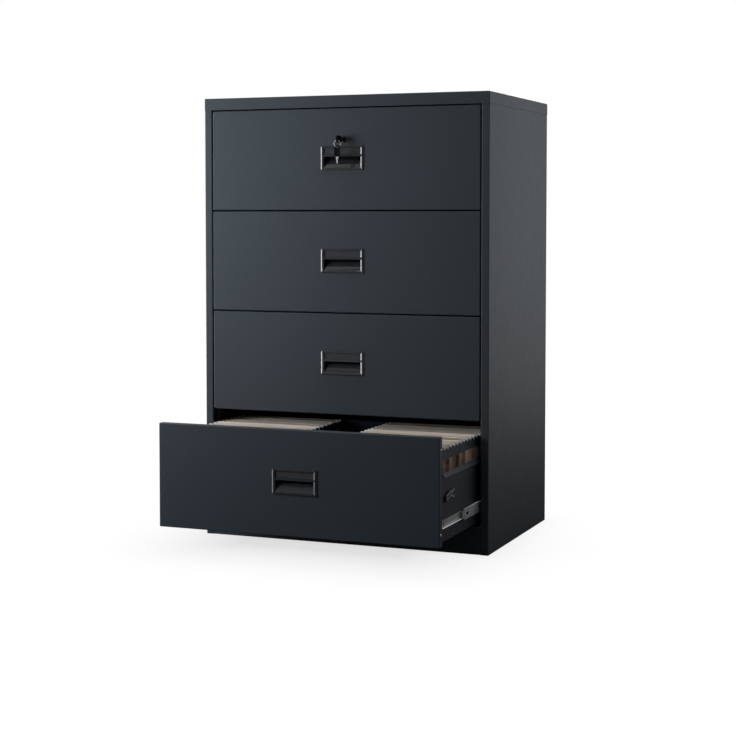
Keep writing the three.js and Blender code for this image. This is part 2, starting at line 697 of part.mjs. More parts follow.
function spareKey() {
  const holeZ = RING_Z - RING_RADIUS;
  const headCentre = holeZ + SPARE_HOLE_DROP - SPARE_HEAD_HEIGHT / 2;
  const outline = roundedRectangle(SPARE_HEAD_WIDTH, SPARE_HEAD_HEIGHT, SPARE_HEAD_WIDTH / 3);
  outline.holes.push(circle(0, holeZ - headCentre, SPARE_HOLE));
  const half = SPARE_HEAD_THICKNESS / 2;
  const head = alongY(outline, -half, half, CORNER_STEPS * 2).translate(0, BOW_HOLE_Y, headCentre);
  const headLow = headCentre - SPARE_HEAD_HEIGHT / 2;
  const blade = alongY(polygon([
    [-SPARE_BLADE_WIDTH / 2, headLow + OVERCUT],
    [-SPARE_BLADE_WIDTH / 2, headLow + SPARE_BLADE_WIDTH / 2 - SPARE_BLADE_LENGTH],
    [0, headLow - SPARE_BLADE_LENGTH],
    [SPARE_BLADE_WIDTH / 2, headLow + SPARE_BLADE_WIDTH / 2 - SPARE_BLADE_LENGTH],
    [SPARE_BLADE_WIDTH / 2, headLow + OVERCUT],
  ]), -SPARE_BLADE_THICKNESS / 2, SPARE_BLADE_THICKNESS / 2).translate(0, BOW_HOLE_Y, 0);
  return surface(solid(head).add(solid(blade)));
}

// A row of linked hanging files: boards folded up and down, with a hooked bar in each upper fold
function fileRow() {
  const wallInner = TRAY_HALF - DRAWER_SHEET;
  const left = RAIL_X + RAIL_THICKNESS / 2 + FOLDER_CLEARANCE;
  const right = wallInner - FOLDER_CLEARANCE;
  const first = TRAY_FRONT + DRAWER_SHEET + RAIL_THICKNESS + FOLDER_MARGIN;
  const last = TRAY_BACK - DRAWER_SHEET - RAIL_THICKNESS - FOLDER_MARGIN;
  const count = Math.floor((last - first) / FOLDER_PITCH);
  const start = (first + last - count * FOLDER_PITCH) / 2;
  const low = TRAY_TOP - FOLDER_DROP;
  const line = [];
  const peaks = [];
  for (let i = 0; i <= count; i += 1) {
    const y = start + i * FOLDER_PITCH;
    peaks.push(y);
    line.push([y - FOLDER_PEAK / 2, TRAY_TOP, 1], [y + FOLDER_PEAK / 2, TRAY_TOP, -1]);
    if (i < count) {
      const foot = y + FOLDER_PITCH / 2;
      line.push([foot - FOLDER_FOOT / 2, low, -1], [foot + FOLDER_FOOT / 2, low, 1]);
    }
  }
  let row = solid(alongX(boardSection(line), left, right));
  const tip = RAIL_X - RAIL_THICKNESS / 2 - FIT;
  const end = TRAY_HALF + FIT;
  const rest = TRAY_TOP + FIT;
  const barOutline = polygon([
    [tip - HOOK_TIP, TRAY_TOP - HOOK_DROP],
    [tip, TRAY_TOP - HOOK_DROP],
    [tip, rest],
    [left, rest],
    [left, TRAY_TOP - HOOK_BAR_HEIGHT],
    [right, TRAY_TOP - HOOK_BAR_HEIGHT],
    [right, rest],
    [end, rest],
    [end, TRAY_TOP - HOOK_DROP],
    [end + HOOK_TIP, TRAY_TOP - HOOK_DROP],
    [end + HOOK_TIP, TRAY_TOP + HOOK_BAR_PROUD],
    [tip - HOOK_TIP, TRAY_TOP + HOOK_BAR_PROUD],
  ]);
  for (const y of peaks) {
    row = row.add(solid(alongY(barOutline, y - HOOK_BAR_THICKNESS / 2, y + HOOK_BAR_THICKNESS / 2)));
  }
  return surface(row);
}

// A board of even thickness: each point of its upper face says which way the lower face leans from it
function boardSection(line) {
  const upper = line.map(([y, z]) => [y, z]);
  const lower = line.map(([y, z, lean]) => [y + lean * FOLDER_BOARD, z - FOLDER_BOARD]);
  return polygon([...upper, ...lower.reverse()]);
}

// Carcass
placePair(cabinet, 'side_panel', sidePanel(), POWDER_COAT);
place(cabinet, 'top_cap', topCap(), POWDER_COAT);
place(cabinet, 'back_panel', backPanel(), POWDER_COAT);
place(cabinet, 'base_pan', basePan(), POWDER_COAT);
placePair(cabinet, 'front_upright', upright(FRONT_UPRIGHT_Y), ZINC);
placePair(cabinet, 'rear_upright', upright(REAR_UPRIGHT_Y), ZINC);
place(cabinet, 'interlock_bar', interlockBar(), ZINC);

// Drawers, numbered from the top
const shared = {
  front: drawerFront(false),
  tray: tray(),
  handle: handle(),
  rails: railFrame(),
  trayMember: trayMember(),
  middleMember: middleMember(),
  cabinetMember: cabinetMember(),
};

for (let number = 1; number <= DRAWER_COUNT; number += 1) {
  const isTop = number === 1;
  const isOpen = number === DRAWER_COUNT;
  const travel = isOpen ? OPEN_TRAVEL : 0;
  const lowEdge = PLINTH_HEIGHT + FRONT_GAP + (DRAWER_COUNT - number) * PITCH;

  const drawer = new THREE.Group();
  drawer.position.set(0, -travel, lowEdge);
  cabinet.add(drawer);
  place(drawer, `front_${number}`, isTop ? drawerFront(true) : shared.front, POWDER_COAT);
  place(drawer, `tray_${number}`, shared.tray, INNER_COAT);
  place(drawer, `handle_${number}`, shared.handle, BLACK_PLASTIC);
  place(drawer, `file_rails_${number}`, shared.rails, INNER_COAT);

  const trayMembers = new THREE.Group();
  trayMembers.position.z = SLIDE_LIFT;
  drawer.add(trayMembers);
  placePair(trayMembers, `tray_slide_${number}`, shared.trayMember, ZINC);

  const middleMembers = new THREE.Group();
  middleMembers.position.set(0, -travel / 2, lowEdge + SLIDE_LIFT);
  cabinet.add(middleMembers);
  placePair(middleMembers, `middle_slide_${number}`, shared.middleMember, ZINC);

  const cabinetMembers = new THREE.Group();
  cabinetMembers.position.z = lowEdge + SLIDE_LIFT;
  cabinet.add(cabinetMembers);
  placePair(cabinetMembers, `cabinet_slide_${number}`, shared.cabinetMember, ZINC);

  if (isTop) {
    place(drawer, 'lock_barrel', lockBarrel(), CHROME);
    place(drawer, 'lock_plug', lockPlug(), CHROME);
    place(drawer, 'lock_rod', lockRod(), ZINC);
    place(drawer, 'lock_key', lockKey(), BLACK_PLASTIC);
    place(drawer, 'key_ring', keyRing(), CHROME);
    place(drawer, 'spare_key', spareKey(), BLACK_PLASTIC);
  }
  if (isOpen) placePair(drawer, 'file_row', fileRow(), MANILA);
}

export default cabinet;
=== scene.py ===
"""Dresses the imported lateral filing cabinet: finishes, handles, slides, hanging files, lock and keys."""
import json
import logging
import math
import random
from dataclasses import dataclass, replace
from enum import Enum
from typing import Callable

import bmesh
import bpy
from bpy.types import Material, Node, NodeSocket, NodeTree, Object
from mathutils import Matrix, Vector


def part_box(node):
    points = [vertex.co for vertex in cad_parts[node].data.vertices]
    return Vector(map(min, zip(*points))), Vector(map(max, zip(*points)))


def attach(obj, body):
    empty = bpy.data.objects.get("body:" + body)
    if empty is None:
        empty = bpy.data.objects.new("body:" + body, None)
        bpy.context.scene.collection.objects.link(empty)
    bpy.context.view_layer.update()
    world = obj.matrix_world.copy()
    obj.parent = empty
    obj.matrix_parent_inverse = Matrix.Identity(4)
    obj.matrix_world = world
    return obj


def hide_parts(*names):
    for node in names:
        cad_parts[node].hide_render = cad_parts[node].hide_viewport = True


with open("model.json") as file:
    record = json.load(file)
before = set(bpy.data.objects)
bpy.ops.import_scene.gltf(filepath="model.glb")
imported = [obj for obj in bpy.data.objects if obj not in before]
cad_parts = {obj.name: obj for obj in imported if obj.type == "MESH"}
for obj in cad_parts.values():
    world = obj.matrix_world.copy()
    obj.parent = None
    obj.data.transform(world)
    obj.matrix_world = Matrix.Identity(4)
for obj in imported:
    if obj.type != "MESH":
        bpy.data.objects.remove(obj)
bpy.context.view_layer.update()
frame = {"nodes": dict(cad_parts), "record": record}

logging.basicConfig(level=logging.INFO, format="%(message)s")
LOG = logging.getLogger("cabinet")

Colour = tuple[float, float, float]
Place = tuple[float, float, float]
Line = list[tuple[float, float]]
Test = Callable[[Vector, Vector], bool]

DRAWERS = (1, 2, 3, 4)
TOP_DRAWER = 1
OPEN_DRAWER = 4
MM = 0.001
# Places closer than this count as one.
TINY = 0.05 * MM
# Points closer than this are merged.
WELD = 0.01 * MM
# The share of a direction that has to lie along an axis to count as along it.
SQUARE = 0.9
# Edges sharper than this are shaded sharp.
SMOOTH_ANGLE = math.radians(32.0)
# The range of most values of a noise texture.
NOISE_SPREAD = (0.3, 0.7)
# The sockets for colours among those of a mix node, which share their names with others.
MIX_COLOURS = (6, 7)
MIX_RESULT = 2


class Axis(Enum):
    """An axis: its place in a vector, and the turn that lays a new cylinder along it."""

    X = (0, (0.0, math.pi / 2, 0.0))
    Y = (1, (math.pi / 2, 0.0, 0.0))
    Z = (2, (0.0, 0.0, 0.0))

    @property
    def turn(self) -> Place:
        """The turn of a cylinder along this axis."""
        return self.value[1]

    def of(self, vector: Vector) -> float:
        """Returns a vector's part along this axis."""
        return vector[self.value[0]]


class Part(Enum):
    """What is picked on a mesh in edit mode."""

    FACE = "FACE"
    EDGE = "EDGE"


class Tool(Enum):
    """What a tool does to the piece that it is laid on."""

    CUT = "DIFFERENCE"
    FUSE = "UNION"


class Side(Enum):
    """A side of the cabinet seen from the front, with its sign on the X axis."""

    RIGHT = ("right", 1.0)
    LEFT = ("left", -1.0)

    @property
    def word(self) -> str:
        """The side's name in node names."""
        return self.value[0]

    @property
    def sign(self) -> float:
        """The side's sign on X."""
        return self.value[1]


def offset(x: float = 0.0, y: float = 0.0, z: float = 0.0) -> Vector:
    """Returns the vector with these parts."""
    return Vector((x, y, z))


def anywhere(at: Vector, way: Vector) -> bool:
    """Passes every face and edge."""
    return True


def facing(axis: Axis, sign: int) -> Test:
    """Returns a test for faces that look along an axis, the way of the sign."""
    return lambda at, way: sign * axis.of(way) > SQUARE


def along(axis: Axis) -> Test:
    """Returns a test for edges along an axis, and for faces that look along it either way."""
    return lambda at, way: abs(axis.of(way)) > SQUARE


def across(axis: Axis) -> Test:
    """Returns a test for edges that don't run along an axis."""
    return lambda at, way: abs(axis.of(way)) <= SQUARE


class Bench:
    """The workbench: operators that start, shape, copy and join one piece at a time."""

    @staticmethod
    def clear() -> None:
        """Deselects everything, because an operator acts on all that is selected."""
        bpy.ops.object.select_all(action="DESELECT")

    @staticmethod
    def take(piece: Object) -> None:
        """Makes a piece the only selected and the active object.

        Args:
            piece: The piece to work on next.
        """
        if bpy.context.mode != "OBJECT":
            Bench.close()
        Bench.clear()
        piece.select_set(True)
        bpy.context.view_layer.objects.active = piece

    @staticmethod
    def settle() -> Object:
        """Moves the active object's place, turn and size into its mesh and returns it."""
        bpy.ops.object.transform_apply(location=True, rotation=True, scale=True)
        return bpy.context.active_object

    @staticmethod
    def block(low: Vector | Place, high: Vector | Place) -> Object:
        """Starts a box between two corners.

        Args:
            low: The corner with the lowest coordinates.
            high: The corner with the highest coordinates.

        Returns:
            The new object, at the origin.
        """
        low, high = Vector(low), Vector(high)
        Bench.clear()
        bpy.ops.mesh.primitive_cube_add(size=1.0, location=(low + high) / 2, scale=high - low)
        return Bench.settle()

    @staticmethod
    def rod(centre: Vector, radius: float, length: float, axis: Axis, sides: int = 32) -> Object:
        """Starts a cylinder.

        Args:
            centre: The middle of the cylinder.
            radius: Its radius.
            length: Its length along the axis.
            axis: The axis that it lies along.
            sides: The number of its sides.

        Returns:
            The new object, at the origin.
        """
        Bench.clear()
        bpy.ops.mesh.primitive_cylinder_add(
            vertices=sides, radius=radius, depth=length, location=centre, rotation=axis.turn
        )
        return Bench.settle()

    @staticmethod
    def pick(piece: Object, part: Part, test: Test) -> int:
        """Opens a piece in edit mode with the faces or edges picked that pass a test.

        Args:
            piece: The piece to open.
            part: Whether faces or edges are picked.
            test: Gets the middle of each face or edge, and its normal or direction.

        Returns:
            How many were picked.
        """
        Bench.take(piece)
        bpy.ops.object.mode_set(mode="EDIT")
        bpy.ops.mesh.select_mode(type=part.value)
        bpy.ops.mesh.select_all(action="DESELECT")
        mesh = bmesh.from_edit_mesh(piece.data)
        if part is Part.FACE:
            found = [face for face in mesh.faces if test(face.calc_center_median(), face.normal)]
        else:
            found = []
            for edge in mesh.edges:
                start, end = (vertex.co for vertex in edge.verts)
                if test((start + end) / 2, (end - start).normalized()):
                    found.append(edge)
        for item in found:
            item.select_set(True)
        mesh.select_flush_mode()
        bmesh.update_edit_mesh(piece.data)
        return len(found)

    @staticmethod
    def close() -> None:
        """Leaves edit mode."""
        bpy.ops.object.mode_set(mode="OBJECT")

    @staticmethod
    def bevel(piece: Object, test: Test, width: float, steps: int = 3) -> None:
        """Rounds the edges of a piece that pass a test.

        Args:
            piece: The piece to shape.
            test: The test for an edge's middle and direction.
            width: The size of the rounding.
            steps: How many faces it gets.
        """
        if Bench.pick(piece, Part.EDGE, test):
            bpy.ops.mesh.bevel(offset=width, segments=steps, affect="EDGES", clamp_overlap=True)
        Bench.close()

    @staticmethod
    def extrude(piece: Object, test: Test, move: Vector) -> None:
        """Draws faces of a piece out.

        Args:
            piece: The piece to shape.
            test: The test for a face's middle and normal.
            move: How far and which way they are drawn.
        """
        Bench.pick(piece, Part.FACE, test)
        bpy.ops.mesh.extrude_region_move(TRANSFORM_OT_translate={"value": move})
        Bench.close()

    @staticmethod
    def inset(piece: Object, test: Test, width: float, depth: float = 0.0) -> None:
        """Insets faces of a piece.

        Args:
            piece: The piece to shape.
            test: The test for a face's middle and normal.
            width: The width of the border that this leaves.
            depth: How far what is inside is raised.
        """
        Bench.pick(piece, Part.FACE, test)
        bpy.ops.mesh.inset(thickness=width, depth=depth)
        Bench.close()

    @staticmethod
    def shift(piece: Object, test: Test, move: Vector) -> None:
        """Moves edges of a piece.

        Args:
            piece: The piece to shape.
            test: The test for an edge's middle and direction.
            move: How far and which way they are moved.
        """
        Bench.pick(piece, Part.EDGE, test)
        bpy.ops.transform.translate(value=move)
        Bench.close()

    @staticmethod
    def slice(piece: Object, point: Vector, normal: Vector) -> None:
        """Cuts a line round a whole piece where a plane meets it.

        Args:
            piece: The piece to shape.
            point: A point of the plane.
            normal: The plane's normal.
        """
        Bench.pick(piece, Part.FACE, anywhere)
        bpy.ops.mesh.bisect(plane_co=point, plane_no=normal)
        Bench.close()

    @staticmethod
    def combine(piece: Object, tool: Object, use: Tool) -> None:
        """Cuts a tool out of a piece, or fuses it on, and throws the tool away.

        Args:
            piece: The piece to change.
            tool: The object to cut with or to add.
            use: Whether it cuts or adds.
        """
        Bench.apply(piece, "BOOLEAN", operation=use.value, solver="EXACT", object=tool)
        Bench.drop(tool)

    @staticmethod
    def mend(piece: Object) -> None:
        """Merges the doubles of a piece and takes out the faces without area that shaping can leave.

        Args:
            piece: The piece to mend.
        """
        Bench.pick(piece, Part.FACE, anywhere)
        bpy.ops.mesh.select_all(action="SELECT")
        bpy.ops.mesh.remove_doubles(threshold=WELD)
        bpy.ops.mesh.dissolve_degenerate(threshold=WELD)
        Bench.close()

    @staticmethod
    def apply(piece: Object, kind: str, **settings: object) -> None:
        """Adds a modifier and applies it.

        Args:
            piece: The piece to change.
            kind: Blender's name of the modifier type.
            settings: The modifier's settings.
        """
        Bench.take(piece)
        step = piece.modifiers.new("finish", kind)
        for name, value in settings.items():
            setattr(step, name, value)
        bpy.ops.object.modifier_apply(modifier=step.name)

    @staticmethod
    def twin(piece: Object, move: Vector = Vector(), mirror: bool = False) -> Object:
        """Copies a piece with its own mesh.

        Args:
            piece: The piece to copy.
            move: How far the copy is moved.
            mirror: Whether it is mirrored left to right, before it is moved.

        Returns:
            The copy, at the origin.
        """
        copy = piece.copy()
        copy.data = piece.data.copy()
        bpy.context.collection.objects.link(copy)
        if mirror:
            copy.data.transform(Matrix.Scale(-1.0, 4, offset(x=1.0)))
            copy.data.flip_normals()
        copy.data.transform(Matrix.Translation(move))
        return copy

    @staticmethod
    def join(pieces: list[Object]) -> Object:
        """Joins pieces.

        Args:
            pieces: The pieces, of which the first takes up the others.

        Returns:
            The joined piece.
        """
        Bench.take(pieces[0])
        for piece in pieces:
            piece.select_set(True)
        bpy.ops.object.join()
        return bpy.context.active_object

    @staticmethod
    def row(piece: Object, moves: list[Vector]) -> Object:
        """Copies a piece by each of the moves, joins the copies to it and returns them all."""
        return Bench.join([piece, *(Bench.twin(piece, move) for move in moves)])

    @staticmethod
    def drop(*pieces: Object) -> None:
        """Throws pieces away."""
        for piece in pieces:
            bpy.data.objects.remove(piece)


class NodeWeb:
    """A material's nodes, added and linked by name."""

    def __init__(self, tree: NodeTree) -> None:
        """Starts from an empty tree."""
        self.tree = tree
        tree.nodes.clear()

    def add(self, kind: str, inputs: dict[str | int, object], **settings: object) -> Node:
        """Adds a node.

        Args:
            kind: Blender's name of the node type.
            inputs: A value or another node's socket for each input.
            settings: The node's own settings.

        Returns:
            The new node.
        """
        node = self.tree.nodes.new(kind)
        for name, value in settings.items():
            setattr(node, name, value)
        for name, value in inputs.items():
            if isinstance(value, NodeSocket):
                self.tree.links.new(value, node.inputs[name])
            else:
                node.inputs[name].default_value = value
        return node

    def coords(self, kind: str = "Object") -> NodeSocket:
        """Returns coordinates: the piece's own, or another kind by Blender's name."""
        return self.add("ShaderNodeTexCoord", {}).outputs[kind]

    def noise(self, coords: NodeSocket, scale: float, detail: float = 2.0) -> NodeSocket:
        """Adds noise at a number of waves for each metre and returns its value."""
        inputs = {"Vector": coords, "Scale": scale, "Detail": detail}
        return self.add("ShaderNodeTexNoise", inputs).outputs["Fac"]

    def span(self, value: NodeSocket, start: float, end: float, low: float, high: float) -> NodeSocket:
        """Maps a value from the range of start and end to low and high, and no further."""
        inputs = {"Value": value, "From Min": start, "From Max": end, "To Min": low, "To Max": high}
        return self.add("ShaderNodeMapRange", inputs).outputs["Result"]

    def fit(self, value: NodeSocket, low: float, high: float) -> NodeSocket:
        """Maps noise from its usual spread to low and high."""
        return self.span(value, *NOISE_SPREAD, low, high)

    def mix(self, share: NodeSocket, first: Colour | NodeSocket, second: Colour | NodeSocket) -> NodeSocket:
        """Mixes two colours.

        Args:
            share: How much of the second colour is in the mix.
            first: A colour or the socket that gives it.
            second: Another one.

        Returns:
            The mixed colour.
        """
        inputs: dict[str | int, object] = {"Factor": share}
        for place, colour in zip(MIX_COLOURS, (first, second)):
            inputs[place] = colour if isinstance(colour, NodeSocket) else (*colour, 1.0)
        return self.add("ShaderNodeMix", inputs, data_type="RGBA").outputs[MIX_RESULT]

    def maths(self, operation: str, first: object, second: object = 0.0) -> NodeSocket:
        """Adds one step of arithmetic and returns its value."""
        return self.add("ShaderNodeMath", {0: first, 1: second}, operation=operation).outputs[0]

    def vector(self, operation: str, first: NodeSocket, second: Place = (0.0, 0.0, 0.0)) -> Node:
        """Adds one step of vector arithmetic."""
        return self.add("ShaderNodeVectorMath", {0: first, 1: second}, operation=operation)


def tinted(colour: Colour, share: float) -> Colour:
    """Returns a colour made lighter or darker by a share of itself."""
    red, green, blue = (value * (1.0 + share) for value in colour)
    return red, green, blue


@dataclass(frozen=True)
class Finish:
    """A surface: colour and gloss, and the marks that vary them.

    Patches and grain are given as a number for each metre, and blotches of gloss as a number for each patch.
    """

    name: str
    slot: str
    colour: Colour
    roughness: float
    metallic: float = 0.0
    specular: float = 0.5
    drift: float = 0.08
    patches: float = 5.0
    grain: float = 900.0
    relief: float = 0.15
    unevenness: float = 0.06
    stretch: Place = (1.0, 1.0, 1.0)
    grain_detail: float = 3.0
    grain_depth: float = 0.3 * MM
    blotches: float = 9.0

    def tint(self, web: NodeWeb, coords: NodeSocket) -> NodeSocket:
        """Returns the colour, which drifts a little over the surface."""
        share = web.fit(web.noise(coords, self.patches), 0.0, 1.0)
        return web.mix(share, tinted(self.colour, -self.drift), tinted(self.colour, self.drift))

    def material(self) -> Material:
        """Returns this finish's material, made at the first call.

        Returns:
            The material, whose coordinates are stretched along the marks.
        """
        made = bpy.data.materials.get(self.name)
        if made is not None:
            return made
        made = bpy.data.materials.new(self.name)
        made.use_nodes = True
        web = NodeWeb(made.node_tree)
        stretched = web.add("ShaderNodeMapping", {"Vector": web.coords(), "Scale": self.stretch})
        coords = stretched.outputs["Vector"]
        grain = web.noise(coords, self.grain, self.grain_detail)
        bump = web.add("ShaderNodeBump", {
            "Strength": self.relief,
            "Distance": self.grain_depth,
            "Height": grain,
        })
        blotches = web.noise(coords, self.patches * self.blotches)
        spread = self.unevenness
        surface = web.add("ShaderNodeBsdfPrincipled", {
            "Base Color": self.tint(web, coords),
            "Roughness": web.fit(blotches, self.roughness - spread, self.roughness + spread),
            "Metallic": self.metallic,
            "Specular IOR Level": self.specular,
            "Normal": bump.outputs["Normal"],
        })
        web.add("ShaderNodeOutputMaterial", {"Surface": surface.outputs["BSDF"]})
        return made

    def paint(self, piece: Object) -> None:
        """Makes this the only material of a piece."""
        piece.data.materials.clear()
        piece.data.materials.append(self.material())


@dataclass(frozen=True)
class FolderBoard(Finish):
    """Board of the hanging files: pale hems and browner boards, with a tint that jumps from folder to folder
    along the row, partly real tone and partly painted shade; the boards' darkest tint is painted shade in the
    gaps between folders.
    """

    pitch: float = 28 * MM
    start: float = 0.0
    hem_level: float = 0.0
    hem_blend: float = 4 * MM
    pale: Colour = (0.95, 0.82, 0.68)
    # The boards' dark end stands partly for darker board and partly for painted shade in the gaps between
    # folders.
    board_dark_and_shade: Colour = (0.16, 0.10, 0.07)
    board_pale: Colour = (0.98, 0.74, 0.61)
    golden_share: float = 0.618034
    mottle: float = 0.15

    def tint(self, web: NodeWeb, coords: NodeSocket) -> NodeSocket:
        """Returns a tint for each half of a folder, mottled with fibres, partly real tone and partly painted
        shade.

        Args:
            web: The material's nodes.
            coords: The coordinates of the fibres.

        Returns:
            The tint.
        """
        split = web.add("ShaderNodeSeparateXYZ", {0: web.coords()}).outputs
        distance = web.maths("SUBTRACT", split["Y"], self.start)
        fibres = web.fit(web.noise(coords, self.patches), -self.mottle, self.mottle)
        hem = web.mix(self.share(web, distance, self.pitch / 2, fibres), self.colour, self.pale)
        board = web.mix(self.share(web, distance, self.pitch, fibres), self.board_dark_and_shade, self.board_pale)
        level = web.span(split["Z"], self.hem_level - self.hem_blend, self.hem_level, 0.0, 1.0)
        return web.mix(level, board, hem)

    def share(self, web: NodeWeb, distance: NodeSocket, step: float, fibres: NodeSocket) -> NodeSocket:
        """Returns a number that jumps at every step along the row.

        Args:
            web: The material's nodes.
            distance: The distance along the row.
            step: The length of a step.
            fibres: What is added to each number.

        Returns:
            The number, from 0 to 1 before the fibres are added.
        """
        number = web.maths("FLOOR", web.maths("DIVIDE", distance, step))
        pick = web.maths("FRACT", web.maths("MULTIPLY", number, self.golden_share))
        return web.maths("ADD", pick, fibres)


POWDER_COAT = Finish("anthracite_powder_coat", "powder_coat", (0.039, 0.048, 0.056), 0.48, specular=0.25,
                     drift=0.04, patches=3.0, grain=1500.0, relief=0.05, unevenness=0.02)
INNER_COAT = Finish("anthracite_inner_coat", "inner_coat", (0.025, 0.033, 0.042), 0.52, specular=0.20,
                    drift=0.05, patches=6.0, grain=1300.0, relief=0.10, unevenness=0.03)
ZINC = Finish("zinc_plate", "zinc", (0.46, 0.47, 0.48), 0.40, metallic=0.85, drift=0.10, patches=30.0,
              grain=500.0, relief=0.10, unevenness=0.08, stretch=(1.0, 0.12, 1.0))
UPRIGHT_STEEL = Finish("upright_steel", "zinc", (0.09, 0.09, 0.095), 0.60, metallic=0.6, specular=0.2,
                       drift=0.12, patches=12.0, grain=600.0, relief=0.10)
RACE_STEEL = Finish("ball_race_steel", "zinc", (0.90, 0.90, 0.89), 0.16, metallic=1.0, drift=0.04,
                    patches=40.0, grain=700.0, relief=0.04, unevenness=0.04, stretch=(1.0, 0.08, 1.0))
CATCH_STEEL = Finish("catch_steel", "zinc", (0.22, 0.23, 0.26), 0.45, metallic=0.85, drift=0.10,
                     patches=60.0, grain=900.0, relief=0.08)
BAR_STEEL = Finish("folder_bar_steel", "zinc", (0.92, 0.91, 0.89), 0.45, drift=0.06, patches=50.0,
                   grain=900.0, relief=0.06, stretch=(0.2, 1.0, 1.0))
RING_STEEL = Finish("split_ring_steel", "chrome", (0.55, 0.55, 0.54), 0.42, metallic=0.7, drift=0.05,
                    patches=120.0, grain=1500.0, relief=0.04, unevenness=0.05)
CHROME = Finish("dark_chrome", "chrome", (0.12, 0.12, 0.13), 0.20, metallic=1.0, drift=0.05, patches=60.0,
                grain=1800.0, relief=0.03, unevenness=0.05)
NICKEL = Finish("key_nickel", "chrome", (0.34, 0.33, 0.31), 0.36, metallic=0.9, drift=0.08, patches=120.0,
                grain=1500.0, relief=0.06, stretch=(1.0, 1.0, 0.15))
HANDLE_PLASTIC = Finish("handle_plastic", "black_plastic", (0.038, 0.040, 0.041), 0.18, drift=0.04,
                        patches=20.0, grain=900.0, relief=0.02, unevenness=0.03)
LABEL_CARD = Finish("label_card", "black_plastic", (0.043, 0.045, 0.046), 0.60, specular=0.25,
                    drift=0.05, patches=60.0, grain=1600.0, relief=0.05, unevenness=0.04)
KEY_PLASTIC = Finish("key_plastic", "black_plastic", (0.006, 0.006, 0.007), 0.60, specular=0.04, drift=0.10,
                     patches=80.0, grain=2600.0, relief=0.06, unevenness=0.04)
PAPER = Finish("file_paper", "manila", (0.74, 0.72, 0.68), 0.75, specular=0.2, drift=0.06, patches=40.0,
               grain=1800.0, relief=0.20, stretch=(0.1, 3.0, 0.1))
FOLDER_BOARD = FolderBoard("folder_board", "manila", (0.36, 0.24, 0.16), 0.72, specular=0.25, patches=70.0,
                           grain=1400.0, relief=0.22, stretch=(0.12, 1.0, 1.0))

NODE_FINISHES = {
    "powder_coat": POWDER_COAT,
    "inner_coat": INNER_COAT,
    "zinc": ZINC,
    "black_plastic": HANDLE_PLASTIC,
    "chrome": CHROME,
    "manila": PAPER,
}


def hand_over(piece: Object, name: str, finish: Finish, body: str, *nodes: str) -> None:
    """Finishes a piece: its name, its shading, its finish and the body that it rides on.

    Args:
        piece: The modelled piece.
        name: Its name.
        finish: The surface that it gets.
        body: The body that it moves with.
        nodes: The nodes that it stands for.
    """
    piece.name = name
    piece.data.name = name
    Bench.take(piece)
    bpy.ops.object.shade_smooth_by_angle(angle=SMOOTH_ANGLE)
    finish.paint(piece)
    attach(piece, body)
    if nodes:
        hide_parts(*nodes)
    LOG.info("%s rides on %s", name, body)


@dataclass(frozen=True)
class Fitting:
    """A piece modelled on the top drawer, with the patterns of its copies' names, bodies and nodes."""

    piece: Object
    finish: Finish
    name: str
    node: str = ""
    body: str = "drawer_{number}"


def copy_to_drawers(fittings: list[Fitting], place: str, sides: tuple[Side, ...]) -> None:
    """Copies the top drawer's fittings to every drawer, and throws the first ones away.

    Args:
        fittings: The modelled pieces.
        place: The pattern of the nodes that tell how far each copy is moved.
        sides: The sides that get a copy, mirrored on the left.
    """
    origin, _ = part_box(place.format(number=TOP_DRAWER))
    for number in DRAWERS:
        low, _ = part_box(place.format(number=number))
        for side in sides:
            words = {"number": number, "side": side.word}
            for item in fittings:
                copy = Bench.twin(item.piece, low - origin, side is Side.LEFT)
                nodes = (item.node.format(**words),) if item.node else ()
                hand_over(copy, item.name.format(**words), item.finish, item.body.format(**words), *nodes)
    Bench.drop(*(item.piece for item in fittings))


@dataclass
class Carcass:
    """The nodes that keep their own shape and get a finish."""

    steel_word: str = "upright"

    def dress(self) -> None:
        """Gives every node the finish of its slot in the record, and the uprights a duller steel."""
        for entry in frame["record"]["subparts"]:
            node = entry["node"]
            finish = UPRIGHT_STEEL if self.steel_word in node else NODE_FINISHES[entry["material_slot"]]
            finish.paint(frame["nodes"][node])
            LOG.info("%s gets %s", node, finish.name)


@dataclass
class BackRivets:
    """The blind rivets that hold the side panels' rear flanges to the back panel."""

    inset: float = 9 * MM
    radius: float = 3.8 * MM
    height: float = 0.65 * MM
    rounding: float = 0.585 * MM
    dimple_border: float = 1.52 * MM
    dimple: float = 0.3 * MM
    first: float = 55 * MM
    spacing: float = 195 * MM
    count: int = 7

    def rivet(self, place: Vector) -> Object:
        """Models a flat rivet head with the dimple of its pin, facing the rear.

        Args:
            place: The middle of the head, on the flange.

        Returns:
            The rivet.
        """
        rivet = Bench.rod(place, self.radius, 2 * self.height, Axis.Y, sides=20)
        Bench.bevel(rivet, lambda at, way: at.y > place.y + TINY, self.rounding)
        Bench.inset(rivet, facing(Axis.Y, 1), self.dimple_border, -self.dimple)
        return rivet

    def dress(self) -> None:
        """Models the rivets of the right flange and mirrors them to the left."""
        low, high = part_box("side_panel_right")
        first = self.rivet(Vector((high.x - self.inset, high.y, low.z + self.first)))
        row = Bench.row(first, [offset(z=step * self.spacing) for step in range(1, self.count)])
        mirrored = Bench.twin(row, mirror=True)
        for piece, side in zip((row, mirrored), Side):
            hand_over(piece, f"back_rivets_{side.word}", ZINC, "cabinet")


